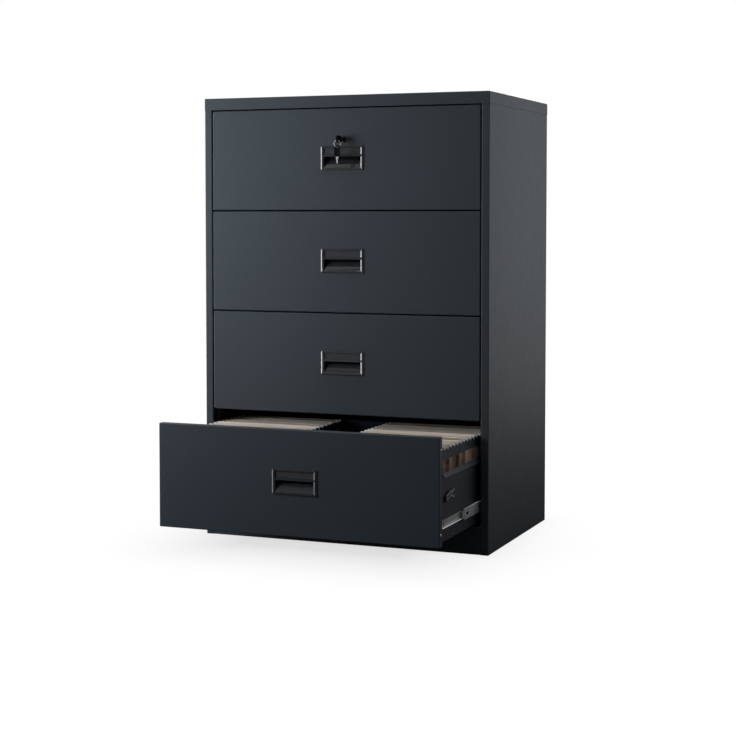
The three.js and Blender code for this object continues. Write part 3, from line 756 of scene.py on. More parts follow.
@dataclass
class Handle:
    """A recessed handle: a rim with ridged side bars, a label holder above and a finger pocket below."""

    width: float = 134.5 * MM
    height: float = 71 * MM
    proud: float = 4 * MM
    corner: float = 4 * MM
    rounding: float = 0.4 * MM
    ridge_drop: float = 1.9 * MM
    ridge_left: float = 3.6 * MM
    ridge_end: float = 3 * MM
    wedge_reach: float = 1 * MM
    side_bar: float = 9 * MM
    top_bar: float = 6 * MM
    lower_bar: float = 6.5 * MM
    label_height: float = 19.5 * MM
    label_recess: float = 4.6 * MM
    divider: float = 6 * MM
    mouth_bevel: float = 0.25 * MM
    mouth_margin: float = 1 * MM
    hood_rise: float = 12 * MM
    knee_depth: float = 11 * MM
    knee_rise: float = 18 * MM
    scoop_rise: float = 24 * MM
    wall: float = 2 * MM
    plate: float = 0.7 * MM
    plate_gap: float = 0.8 * MM
    plate_corner: float = 1.5 * MM
    plate_frame: float = 1.4 * MM
    plate_dip: float = 0.25 * MM
    # A near-black sheet on the pocket's back wall paints the shade there: its thickness and its rounding.
    pad: float = 0.8 * MM
    pad_bevel: float = 0.3 * MM

    @property
    def inner(self) -> float:
        """Half the width between the side bars."""
        return self.width / 2 - self.side_bar

    @property
    def label_top(self) -> float:
        """The top of the label's recess above the rim's middle."""
        return self.height / 2 - self.top_bar

    @property
    def label_low(self) -> float:
        """The foot of the label's recess above the rim's middle."""
        return self.label_top - self.label_height

    @property
    def mouth_top(self) -> float:
        """The top of the pocket's mouth above the rim's middle."""
        return self.label_low - self.divider

    @property
    def mouth_low(self) -> float:
        """The foot of the pocket's mouth above the rim's middle."""
        return self.lower_bar - self.height / 2

    def rim(self, middle: Vector) -> Object:
        """Models the rim, proud of the front.

        Args:
            middle: The middle of the rim's outer face.

        Returns:
            The rim.
        """
        half = offset(self.width / 2, 0.0, self.height / 2)
        rim = Bench.block(middle - half, middle + half + offset(y=self.proud))
        Bench.bevel(rim, along(Axis.Y), self.corner, steps=5)
        Bench.bevel(rim, lambda at, way: at.y < middle.y + TINY, self.rounding, steps=2)
        for side in Side:
            for tool in self.ridge_tools(middle, side):
                Bench.combine(rim, tool, Tool.CUT)
        return rim

    def ridge_tools(self, middle: Vector, side: Side) -> list[Object]:
        """Models the wedges whose cut leaves a ridge along a side bar.

        Args:
            middle: The middle of the rim's outer face.
            side: The side of the bar.

        Returns:
            The wedges on both sides of the ridge, with a gap for the divider on the right-hand bar.
        """
        outer = side.sign * self.width / 2
        edges = sorted((outer, outer - side.sign * self.side_bar))
        ridge = edges[0] + self.ridge_left
        top = self.height / 2 - self.ridge_end
        spans = [(edges[1], -top, top)]
        if side is Side.LEFT:
            spans.append((edges[0], -top, top))
        else:
            spans += [(edges[0], -top, self.mouth_top), (edges[0], self.label_low, top)]
        tools = []
        for start, low, high in spans:
            away = start + math.copysign(self.wedge_reach, start - ridge)
            left, right = sorted((away, ridge))
            tool = Bench.block((left, middle.y - self.wedge_reach, middle.z + low),
                               (right, middle.y, middle.z + high))
            drop = offset(y=self.ridge_drop * abs(away - ridge) / abs(start - ridge))
            Bench.shift(tool, lambda at, way: abs(at.x - away) < TINY and at.y > middle.y - TINY, drop)
            tools.append(tool)
        return tools

    def pocket(self, middle: Vector, deep: float) -> Object:
        """Models the finger pocket as a tool to cut with.

        Args:
            middle: The middle of the rim's outer face.
            deep: The Y of the pocket's back wall.

        Returns:
            The tool, with a floor that rises steeply, then gently, and a hollow behind the divider.
        """
        low = middle + offset(-self.inner, -self.proud, self.mouth_low)
        tool = Bench.block(low, Vector((self.inner, deep, middle.z + self.mouth_top)))
        start = middle.y + self.wall
        behind = start + self.proud
        knee = start + self.knee_depth
        for y in (start, behind, knee):
            Bench.slice(tool, offset(y=y), offset(y=1.0))
        Bench.extrude(tool, lambda at, way: way.z > SQUARE and at.y > behind, offset(z=self.hood_rise))
        first_rise = self.knee_rise * self.proud / self.knee_depth
        for y, rise in ((deep, self.scoop_rise), (knee, self.knee_rise), (behind, first_rise)):
            Bench.shift(tool, lambda at, way: abs(at.y - y) < TINY and at.z < low.z + TINY, offset(z=rise))
        return tool

    def is_mouth_edge(self, at: Vector) -> bool:
        """Tells whether an edge of the outer face is to be softened.

        Args:
            at: The edge's middle, seen from the middle of the rim's outer face.

        Returns:
            Whether it runs round the label or the pocket, and isn't the divider's.
        """
        inside = at.y < TINY and abs(at.x) < self.inner - self.mouth_margin
        return inside and abs(at.z) < self.label_top + TINY and abs(at.z - self.label_low) > self.mouth_margin

    def label_plate(self, low: Vector, high: Vector) -> Object:
        """Models the label's plate, with a raised frame.

        Args:
            low: The lowest corner of the recess's floor.
            high: Its highest corner.

        Returns:
            The plate.
        """
        margin = offset(self.plate_gap, 0.0, self.plate_gap)
        plate = Bench.block(low + margin - offset(y=self.plate), high - margin)
        Bench.bevel(plate, along(Axis.Y), self.plate_corner)
        Bench.inset(plate, facing(Axis.Y, -1), self.plate_frame)
        face = (low + high) / 2
        Bench.inset(plate, lambda at, way: way.y < -SQUARE and (at - face).xz.length < TINY,
                    self.plate_dip, -self.plate_dip)
        return plate

    def pocket_pad(self, middle: Vector, deep: float) -> Object:
        """Models a near-black sheet on the pocket's back wall above its sloping floor, as painted shade for
        the shadow under the divider.

        Args:
            middle: The middle of the rim's outer face.
            deep: The Y of the pocket's back wall.

        Returns:
            The painted shade sheet.
        """
        pad = Bench.block((-self.inner, deep - self.pad, middle.z + self.mouth_low + self.scoop_rise),
                          (self.inner, deep, middle.z + self.mouth_top + self.hood_rise))
        Bench.bevel(pad, lambda at, way: at.y < deep - self.pad + TINY, self.pad_bevel, steps=2)
        return pad

    def build(self) -> list[Fitting]:
        """Models the handle of the top drawer where its node is.

        Returns:
            The handle, the label plate and the painted shade sheet in the pocket.
        """
        low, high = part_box(f"handle_{TOP_DRAWER}")
        middle = Vector(((low.x + high.x) / 2, low.y, (low.z + high.z) / 2))
        grip = self.rim(middle)
        half = offset(self.inner + self.side_bar / 2, 0.0, (self.height - self.lower_bar) / 2)
        box = Bench.block(middle - half + offset(y=self.proud / 2), middle + half + offset(y=high.y - low.y))
        Bench.combine(grip, box, Tool.FUSE)
        recess_low = middle + offset(-self.inner, self.label_recess, self.label_low)
        recess_high = middle + offset(self.inner, self.label_recess, self.label_top)
        to_front = offset(y=self.label_recess + self.proud)
        Bench.combine(grip, Bench.block(recess_low - to_front, recess_high), Tool.CUT)
        deep = high.y - self.wall
        Bench.combine(grip, self.pocket(middle, deep), Tool.CUT)
        Bench.bevel(grip, lambda at, way: self.is_mouth_edge(at - middle), self.mouth_bevel, steps=1)
        Bench.mend(grip)
        return [
            Fitting(grip, HANDLE_PLASTIC, "grip_{number}", "handle_{number}"),
            Fitting(self.label_plate(recess_low, recess_high), LABEL_CARD, "label_plate_{number}"),
            # The near-black sheet is painted shade on the pocket's back wall.
            Fitting(self.pocket_pad(middle, deep), KEY_PLASTIC, "pocket_pad_{number}"),
        ]

    def dress(self) -> None:
        """Models the handle once and copies it to every drawer."""
        copy_to_drawers(self.build(), "handle_{number}", (Side.RIGHT,))


@dataclass
class FileRow:
    """A row of hanging files: folders, the papers in them, and the steel bars that they hang from."""

    pitch: float = 28 * MM
    peak: float = 5 * MM
    bar_offset: float = 1.8 * MM
    bar_thickness: float = 1.2 * MM
    bar_height: float = 10 * MM
    bar_corner: float = 1 * MM
    tongue: float = 3.5 * MM
    hook_drop: float = 8.5 * MM
    hook_width: float = 1.5 * MM
    board: float = 0.7 * MM
    hem: float = 9 * MM
    hem_outside: float = 13.5 * MM
    hem_half: float = 1.15 * MM
    crown_share: float = 0.45
    end_gap: float = 6.8 * MM
    foot: float = 3 * MM
    paper_half: float = 1.4 * MM
    paper_fan: float = 2.6
    paper_bevel: float = 0.5 * MM
    paper_left: float = 12 * MM
    paper_right: float = 14 * MM
    paper_lift: float = 4 * MM
    paper_drop: float = 34 * MM
    paper_fill: tuple[float, float] = (0.90, 1.0)
    sway: tuple[float, float] = (-0.4 * MM, 0.4 * MM)
    sag: tuple[float, float] = (-0.5 * MM, 0.2 * MM)
    seed: int = 7

    def hem_line(self, bar: float, inward: float, top: float) -> Line:
        """Returns the points round a bar.

        Args:
            bar: The Y of the bar.
            inward: The sign of the way to the folder's middle.
            top: The height of the hem.

        Returns:
            The points as Y and Z, from the inner end of the hem.
        """
        half = inward * self.hem_half
        crown = half * self.crown_share
        shoulder = top - self.hem_half * (1.0 - self.crown_share)
        return [
            (bar + half, top - self.hem),
            (bar + half, shoulder),
            (bar + crown, top),
            (bar - crown, top),
            (bar - half, shoulder),
            (bar - half, top - self.hem_outside),
        ]

    def folder_line(self, front: float, rear: float, top: float, low: float) -> Line:
        """Returns the points of a folder's fold from its front hem to its rear hem.

        Args:
            front: The Y of the front bar.
            rear: The Y of the rear bar.
            top: The height of the hems.
            low: The height of the fold at the bottom.

        Returns:
            The points as Y and Z.
        """
        middle = (front + rear) / 2
        foot = [
            (middle - self.foot, low + self.foot / 2),
            (middle - self.foot / 2, low),
            (middle + self.foot / 2, low),
            (middle + self.foot, low + self.foot / 2),
        ]
        return self.hem_line(front, 1.0, top) + foot + self.hem_line(rear, -1.0, top)[::-1]

    def folder(self, left: float, right: float, line: Line) -> Object:
        """Models one folder by extruding its edge along its fold, and gives the board its thickness.

        Args:
            left: The X of its left end.
            right: The X of its right end.
            line: The points of its fold as Y and Z.

        Returns:
            The folder.
        """
        (y_0, z_0), (_, z_1) = line[0], line[1]
        Bench.clear()
        bpy.ops.mesh.primitive_plane_add(
            size=1.0, location=((left + right) / 2, y_0, (z_0 + z_1) / 2), rotation=Axis.Y.turn
        )
        bpy.context.active_object.scale = (right - left, z_1 - z_0, 1.0)
        folder = Bench.settle()
        Bench.pick(folder, Part.EDGE, lambda at, way: at.z > z_1 - TINY)
        for (y_a, z_a), (y_b, z_b) in zip(line[1:], line[2:]):
            bpy.ops.mesh.extrude_edges_move(TRANSFORM_OT_translate={"value": (0.0, y_b - y_a, z_b - z_a)})
        Bench.close()
        Bench.apply(folder, "SOLIDIFY", thickness=self.board, offset=0.0)
        return folder

    def bar(self, low: Vector, high: Vector, place: float) -> Object:
        """Models a steel bar with a hook over the rail at either end.

        Args:
            low: The lowest corner of the row's node.
            high: Its highest corner.
            place: The Y of the bar.

        Returns:
            The bar.
        """
        half = self.bar_thickness / 2
        bar = Bench.block((low.x, place - half, high.z - self.tongue), (high.x, place + half, high.z))
        hooks = (low.x + self.hook_width, high.x - self.hook_width)
        blade = (low.x + self.end_gap, high.x - self.end_gap)
        for x in (*hooks, *blade):
            Bench.slice(bar, offset(x=x), offset(x=1.0))
        Bench.extrude(bar, lambda at, way: way.z < -SQUARE and not hooks[0] < at.x < hooks[1],
                      offset(z=self.tongue - self.hook_drop))
        Bench.extrude(bar, lambda at, way: way.z < -SQUARE and blade[0] < at.x < blade[1],
                      offset(z=self.tongue - self.bar_height))
        Bench.bevel(bar, lambda at, way: abs(way.y) > SQUARE and at.z > high.z - TINY, self.bar_corner)
        Bench.mend(bar)
        return bar

    def papers(self, low: Vector, high: Vector) -> Object:
        """Models a bundle of papers standing in a folder.

        Args:
            low: The lowest corner of the bundle's foot.
            high: Its highest corner, right above the foot.

        Returns:
            The bundle, whose sheets fan out a little towards the top.
        """
        bundle = Bench.block(low, high)
        Bench.pick(bundle, Part.FACE, facing(Axis.Z, 1))
        bpy.ops.transform.resize(value=(1.0, self.paper_fan, 1.0))
        Bench.close()
        Bench.bevel(bundle, across(Axis.Y), self.paper_bevel, steps=2)
        return bundle

    def dress(self, side: Side) -> None:
        """Models a folder with its bars and papers once, and copies it along the row.

        Args:
            side: The side of the drawer that the row hangs in.
        """
        low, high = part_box(f"file_row_{side.word}")
        start = low.y + self.peak / 2
        left, right = low.x + self.end_gap, high.x - self.end_gap
        top = high.z + self.board / 2
        front, rear = start + self.bar_offset, start + self.pitch - self.bar_offset
        middle = (front + rear) / 2
        folder = self.folder(left, right, self.folder_line(front, rear, top, low.z + self.board))
        bundle = self.papers(
            Vector((left + self.paper_left, middle - self.paper_half, low.z + self.paper_lift)),
            Vector((right - self.paper_right, middle + self.paper_half, top - self.paper_drop)),
        )
        bars = Bench.row(self.bar(low, high, front), [offset(y=rear - front)])
        chance = random.Random(self.seed + int(side.sign))
        foot = Matrix.Translation(offset(z=low.z))
        folders, bar_pairs, bundles = [], [], []
        for index in range(round((high.y - low.y - self.peak) / self.pitch)):
            move = offset(y=index * self.pitch)
            sway = offset(y=chance.uniform(*self.sway), z=chance.uniform(*self.sag))
            folders.append(Bench.twin(folder, move + sway))
            bar_pairs.append(Bench.twin(bars, move + sway))
            bundles.append(Bench.twin(bundle, move))
            fill = Matrix.Diagonal((1.0, 1.0, chance.uniform(*self.paper_fill), 1.0))
            bundles[-1].data.transform(foot @ fill @ foot.inverted())
        Bench.drop(folder, bundle, bars)
        board = replace(FOLDER_BOARD, pitch=self.pitch, start=start, hem_level=top - self.hem)
        body = f"drawer_{OPEN_DRAWER}"
        hand_over(Bench.join(folders), f"folders_{side.word}", board, body, f"file_row_{side.word}")
        hand_over(Bench.join(bar_pairs), f"folder_bars_{side.word}", BAR_STEEL, body)
        hand_over(Bench.join(bundles), f"papers_{side.word}", PAPER, body)


@dataclass
class LockSet:
    """The lock's barrel with its rosette, the key in it, the split ring and the spare key."""

    rosette_proud: float = 3.7 * MM
    rosette_bevel: float = 0.4 * MM
    barrel_step: float = 1.5 * MM
    plug_radius: float = 5.8 * MM
    cone_width: float = 3.2 * MM
    cone_depth: float = 1.65 * MM
    face_thickness: float = 0.6 * MM
    face_gap: float = 0.5 * MM
    face_bevel: float = 0.15 * MM
    panel_border: float = 2.2 * MM
    bow_length: float = 33 * MM
    bow_corner: float = 5.5 * MM
    bow_relief: float = 0.7 * MM
    bow_hole: float = 3.6 * MM
    hole_inset: float = 5.5 * MM
    shank_half: float = 1.1 * MM
    shank_width: float = 8 * MM
    shank_dip: float = 0.5 * MM
    shank_bevel: float = 0.5 * MM
    shank_lap: float = 1 * MM
    ring_radius: float = 10 * MM
    ring_wire: float = 0.65 * MM
    ring_turn: float = math.radians(40.0)
    ring_turns: int = 2
    ring_steps: int = 48
    wire_sides: int = 10
    head_height: float = 33 * MM
    head_round: float = 1 / 3
    head_relief: float = 0.6 * MM
    head_hole: float = 3.8 * MM
    head_hole_drop: float = 6 * MM
    blade_width: float = 8 * MM
    blade_cut: float = 1.7 * MM
    blade_tip: float = 1.84 * MM
    shoulder: float = 8 * MM
    tooth_start: float = 2.6 * MM
    tooth_pitch: float = 3.2 * MM
    tooth_width: float = 1.7 * MM
    tooth_depths: tuple[float, ...] = (0.7 * MM, 1.2 * MM, 0.7 * MM, 1.2 * MM)
    drill: float = 80 * MM
    cut_margin: float = 5 * MM

    def rosette(self) -> None:
        """Models the barrel: a rosette hollowed like a cone, the body behind it and a dark face inside."""
        low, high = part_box("lock_barrel")
        radius = (high.x - low.x) / 2
        middle = Vector(((low.x + high.x) / 2, low.y + self.rosette_proud / 2, (low.z + high.z) / 2))
        barrel = Bench.rod(middle, radius, self.rosette_proud, Axis.Y, sides=48)
        Bench.inset(barrel, facing(Axis.Y, 1), self.barrel_step)
        Bench.extrude(barrel, lambda at, way: way.y > SQUARE and (at - middle).xz.length < TINY,
                      offset(y=high.y - low.y - self.rosette_proud))
        Bench.bevel(barrel, lambda at, way: at.y < low.y + TINY, self.rosette_bevel, steps=2)
        Bench.inset(barrel, facing(Axis.Y, -1), self.cone_width, -self.cone_depth)
        Bench.combine(barrel, Bench.rod(middle, self.plug_radius, self.drill, Axis.Y, sides=40), Tool.CUT)
        hand_over(barrel, "lock_rosette", CHROME, f"drawer_{TOP_DRAWER}", "lock_barrel")
        front = low.y + self.cone_depth - self.face_thickness
        floor = Vector((middle.x, front + self.face_thickness / 2, middle.z))
        face_radius = radius - self.cone_width - self.face_gap
        face = Bench.rod(floor, face_radius, self.face_thickness, Axis.Y, sides=40)
        Bench.combine(face, Bench.rod(floor, self.plug_radius, self.drill, Axis.Y, sides=40), Tool.CUT)
        Bench.bevel(face, lambda at, way: at.y < front + TINY, self.face_bevel, steps=2)
        hand_over(face, "lock_face", KEY_PLASTIC, f"drawer_{TOP_DRAWER}")
        KEY_PLASTIC.paint(frame["nodes"]["lock_plug"])

    def grip(self, low: Vector, high: Vector, axis: Axis, corner: float, relief: float) -> Object:
        """Models a key's plastic grip: a plate with round corners and a sunk panel on both faces.

        Args:
            low: The lowest corner of the plate.
            high: Its highest corner.
            axis: The axis that its faces look along.
            corner: The radius of its corners.
            relief: How deep the panels are sunk, and how far the edges of the faces are rounded.

        Returns:
            The grip.
        """
        middle = (axis.of(low) + axis.of(high)) / 2
        half = (axis.of(high) - axis.of(low)) / 2
        grip = Bench.block(low, high)
        Bench.bevel(grip, along(axis), corner, steps=6)
        Bench.inset(grip, along(axis), self.panel_border, -relief)
        Bench.bevel(grip, lambda at, way: abs(axis.of(at) - middle) > half - TINY, relief, steps=2)
        return grip

    def key(self) -> None:
        """Models the key in the lock: a plastic bow with a grip panel, and a grooved steel shank."""
        low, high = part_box("lock_key")
        back = low.y + self.bow_length
        bow = self.grip(low, Vector((high.x, back, high.z)), Axis.X, self.bow_corner, self.bow_relief)
        hole = Vector((0.0, low.y + self.hole_inset, low.z + self.hole_inset))
        Bench.combine(bow, Bench.rod(hole, self.bow_hole, self.drill, Axis.X), Tool.CUT)
        hand_over(bow, "key_bow", KEY_PLASTIC, "lock_plug", "lock_key")
        middle = Vector((0.0, 0.0, (low.z + high.z) / 2))
        half = offset(self.shank_half, 0.0, self.shank_width / 2)
        shank = Bench.block(middle - half + offset(y=back - self.shank_lap), middle + half + offset(y=high.y))
        Bench.inset(shank, along(Axis.X), self.panel_border, -self.shank_dip)
        Bench.bevel(shank, along(Axis.Y), self.shank_bevel, steps=2)
        hand_over(shank, "key_shank", NICKEL, "lock_plug")

    def ring(self) -> None:
        """Models the split ring: two turns of wire that close on each other."""
        low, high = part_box("key_ring")
        Bench.clear()
        bpy.ops.mesh.primitive_circle_add(
            vertices=self.wire_sides, radius=self.ring_wire, fill_type="NOTHING",
            location=(self.ring_radius, 0.0, -self.ring_wire), rotation=Axis.Y.turn,
        )
        ring = Bench.settle()
        Bench.apply(ring, "SCREW", angle=2 * math.pi, screw_offset=2 * self.ring_wire,
                    iterations=self.ring_turns, steps=self.ring_steps, render_steps=self.ring_steps,
                    use_normal_calculate=True)
        Bench.pick(ring, Part.EDGE, anywhere)
        bpy.ops.mesh.select_all(action="DESELECT")
        bpy.ops.mesh.select_non_manifold()
        bpy.ops.mesh.fill_holes(sides=0)
        bpy.ops.mesh.select_all(action="SELECT")
        bpy.ops.mesh.normals_make_consistent(inside=False)
        Bench.close()
        ring.rotation_euler = (math.pi / 2, 0.0, self.ring_turn)
        ring.location = (low + high) / 2
        hand_over(Bench.settle(), "split_ring", RING_STEEL, "key_bunch", "key_ring")

    def spare_head(self, low: Vector, high: Vector) -> None:
        """Models the spare key's plastic head, with a grip panel and the hole for the ring.

        Args:
            low: The lowest corner of the head.
            high: Its highest corner.
        """
        head = self.grip(low, high, Axis.Y, (high.x - low.x) * self.head_round, self.head_relief)
        hole = Vector((0.0, (low.y + high.y) / 2, high.z - self.head_hole_drop))
        Bench.combine(head, Bench.rod(hole, self.head_hole, self.drill, Axis.Y), Tool.CUT)
        hand_over(head, "spare_key_head", KEY_PLASTIC, "key_bunch", "spare_key")

    def spare_blade(self, middle: float, low: float, neck: float) -> None:
        """Models the spare key's steel blade, slimmer below its shoulder and with cut teeth.

        Args:
            middle: The Y of its middle.
            low: The height of its tip.
            neck: The height at which the head starts.
        """
        half = offset(self.blade_width / 2, self.shank_half, 0.0)
        centre = offset(y=middle)
        blade = Bench.block(centre - half + offset(z=low), centre + half + offset(z=neck + self.shank_lap))
        slim = self.blade_width / 2 - self.blade_cut
        front, rear = middle - self.cut_margin, middle + self.cut_margin
        for side in Side:
            left, right = sorted((side.sign * slim, side.sign * (slim + self.cut_margin)))
            cut = Bench.block((left, front, low - self.cut_margin), (right, rear, neck - self.shoulder))
            Bench.combine(blade, cut, Tool.CUT)
        Bench.bevel(blade, lambda at, way: abs(way.y) > SQUARE and at.z < low + TINY, self.blade_tip, steps=2)
        for index, depth in enumerate(self.tooth_depths):
            z = low + self.tooth_start + index * self.tooth_pitch
            cut = Bench.block((slim - depth, front, z), (slim + self.cut_margin, rear, z + self.tooth_width))
            Bench.combine(blade, cut, Tool.CUT)
        hand_over(blade, "spare_key_blade", NICKEL, "key_bunch")

    def dress(self) -> None:
        """Builds the lock and its keys."""
        self.rosette()
        self.key()
        self.ring()
        low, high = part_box("spare_key")
        neck = high.z - self.head_height
        self.spare_head(Vector((low.x, low.y, neck)), high)
        self.spare_blade((low.y + high.y) / 2, low.z, neck)


@dataclass(frozen=True)
class Screw:
    """A domed screw head with a cross cut, facing the right side.

    The dome and the cut's place are shares of the height, and the cut's sizes are shares of the radius.
    """

    radius: float
    height: float
    dome: float = 0.7
    cut_place: float = 0.75
    cut_length: float = 1.1
    cut_width: float = 0.25

    def build(self, head: Vector) -> Object:
        """Models the screw head.

        Args:
            head: The middle of the head.

        Returns:
            The screw head.
        """
        top = head.x + self.height / 2
        dome = Bench.rod(head, self.radius, self.height, Axis.X, sides=20)
        Bench.bevel(dome, lambda at, way: at.x > top - TINY, self.height * self.dome)
        middle = head + offset(x=self.height * self.cut_place)
        length, width = self.radius * self.cut_length / 2, self.radius * self.cut_width / 2
        for half in (offset(self.height / 2, length, width), offset(self.height / 2, width, length)):
            Bench.combine(dome, Bench.block(middle - half, middle + half), Tool.CUT)
        return dome


@dataclass
class Slides:
    """The telescopic slides: slots and holes in their members, screws, rivets, races and ball cages."""

    sheet: float = 1.2 * MM
    cut_depth: float = 4.8 * MM
    slot_length: float = 24 * MM
    slot_height: float = 7 * MM
    slot_round: float = 0.49
    hole_radius: float = 3 * MM
    hole_spacing: float = 62 * MM
    tray_first: float = 215 * MM
    middle_first: float = 28 * MM
    end_slot: float = 24 * MM
    end_slot_length: float = 7 * MM
    end_slot_height: float = 14 * MM
    screw: Screw = Screw(3.2 * MM, 1.6 * MM)
    screw_places: tuple[float, ...] = (115 * MM, 240 * MM, 484 * MM)
    race_radius: float = 1.5 * MM
    race_bevel: float = 0.4 * MM
    race_gap: float = 1 * MM
    edge_length: float = 70 * MM
    channel_half: float = 15.75 * MM
    rivet_places: tuple[float, ...] = (60 * MM, 119 * MM, 244 * MM, 430 * MM)
    rivet_radius: float = 3.4 * MM
    rivet_height: float = 0.45 * MM
    rivet_rounding: float = 0.405 * MM
    cage_reach: float = 8 * MM
    cage_length: float = 20 * MM
    cage_half: float = 11.5 * MM
    cage_gap: float = 0.3 * MM
    cage_sheet: float = 1.2 * MM
    cage_corner: float = 2 * MM
    cage_border: float = 2.5 * MM
    cage_dip: float = 0.4 * MM

    def capsule(self, middle: Vector, length: float, height: float) -> Object:
        """Models a rounded slot that lies along Y as a tool to cut with, along X.

        Args:
            middle: Its middle.
            length: Its length along Y.
            height: Its height.

        Returns:
            The tool.
        """
        half = Vector((self.cut_depth, length, height)) / 2
        tool = Bench.block(middle - half, middle + half)
        Bench.bevel(tool, along(Axis.X), min(length, height) * self.slot_round, steps=4)
        return tool

    def pierced(self, node: str, web: float, first: float) -> Object:
        """Cuts a row of slots and holes by turns through the web of a merged copy of a member.

        Args:
            node: The member's node.
            web: The X of its web.
            first: How far the first slot is from its front end.

        Returns:
            The member.
        """
        low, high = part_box(node)
        member = Bench.twin(frame["nodes"][node])
        member.parent = None
        member.matrix_world = Matrix.Identity(4)
        Bench.mend(member)
        middle = Vector((web, 0.0, (low.z + high.z) / 2))
        count = int((high.y - low.y - first - self.slot_length) / self.hole_spacing) + 1
        for index in range(count):
            middle.y = low.y + first + index * self.hole_spacing
            if index % 2 == 0:
                tool = self.capsule(middle, self.slot_length, self.slot_height)
            else:
                tool = Bench.rod(middle, self.hole_radius, self.cut_depth, Axis.X, sides=20)
            Bench.combine(member, tool, Tool.CUT)
        Bench.mend(member)
        return member

    def race(self, x: float, middle: float, low: float, length: float) -> Object:
        """Models a polished round edge that lies along Y.

        Args:
            x: The X of its outer side.
            middle: The Y of its middle.
            low: The height of its lower side.
            length: Its length.

        Returns:
            The edge.
        """
        centre = Vector((x - self.race_radius, middle, low + self.race_radius))
        race = Bench.rod(centre, self.race_radius, length, Axis.Y, sides=16)
        Bench.bevel(race, across(Axis.Y), self.race_bevel, steps=2)
        return race

    def tray_member(self) -> list[Fitting]:
        """Models the right-hand member on the top tray.

        Returns:
            The member with its slots, its screws and the ball race.
        """
        node = f"tray_slide_{TOP_DRAWER}_right"
        low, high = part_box(node)
        web = low.x + self.sheet / 2
        centre = (low.z + high.z) / 2
        member = self.pierced(node, web, self.tray_first)
        end = Vector((web, low.y + self.end_slot, centre))
        Bench.combine(member, self.capsule(end, self.end_slot_length, self.end_slot_height), Tool.CUT)
        first, *others = self.screw_places
        screw = self.screw.build(Vector((low.x + self.sheet + self.screw.height / 2, low.y + first, centre)))
        screws = Bench.row(screw, [offset(y=place - first) for place in others])
        race = self.race(high.x, (low.y + high.y) / 2, low.z, high.y - low.y - self.race_gap)
        return [
            Fitting(member, ZINC, "rail_{number}_{side}", "tray_slide_{number}_{side}"),
            Fitting(screws, BAR_STEEL, "rail_screws_{number}_{side}"),
            Fitting(race, RACE_STEEL, "ball_race_{number}_{side}"),
        ]

    def ball_cage(self, x: float, y: float, z: float) -> Object:
        """Models the ball cage that looks out of a member's front end.

        Args:
            x: The X of its outer side.
            y: The Y of its front end.
            z: The height of its middle.

        Returns:
            The cage.
        """
        cage = Bench.block((x - self.cage_sheet, y, z - self.cage_half),
                           (x, y + self.cage_length, z + self.cage_half))
        Bench.bevel(cage, along(Axis.X), self.cage_corner)
        Bench.inset(cage, facing(Axis.X, 1), self.cage_border, -self.cage_dip)
        return cage

    def middle_member(self) -> list[Fitting]:
        """Models the right-hand member between, of the top drawer.

        Returns:
            The member with its slots, its flat rivets, a polished edge and the ball cage.
        """
        node = f"middle_slide_{TOP_DRAWER}_right"
        low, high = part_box(node)
        centre = (low.z + high.z) / 2
        member = self.pierced(node, high.x - self.sheet / 2, self.middle_first)
        first, *others = self.rivet_places
        head = Vector((high.x, low.y + first, centre))
        rivet = Bench.rod(head, self.rivet_radius, 2 * self.rivet_height, Axis.X, sides=20)
        Bench.bevel(rivet, lambda at, way: at.x > high.x + TINY, self.rivet_rounding, steps=2)
        rivets = Bench.row(rivet, [offset(y=place - first) for place in others])
        edge_middle = low.y + self.race_gap + self.edge_length / 2
        edge = self.race(high.x, edge_middle, centre - self.channel_half, self.edge_length)
        cage = self.ball_cage(high.x - self.sheet - self.cage_gap, low.y - self.cage_reach, centre)
        body = "slides_{number}"
        return [
            Fitting(member, ZINC, "mid_rail_{number}_{side}", "middle_slide_{number}_{side}", body),
            Fitting(rivets, RACE_STEEL, "mid_rivets_{number}_{side}", body=body),
            Fitting(edge, RACE_STEEL, "mid_edge_{number}_{side}", body=body),
            Fitting(cage, BAR_STEEL, "ball_cage_{number}_{side}", body=body),
        ]

    def dress(self) -> None:
        """Models each member once on the right, and copies it to both sides of every drawer."""
        copy_to_drawers(self.tray_member(), "tray_slide_{number}_right", tuple(Side))
        copy_to_drawers(self.middle_member(), "middle_slide_{number}_right", tuple(Side))


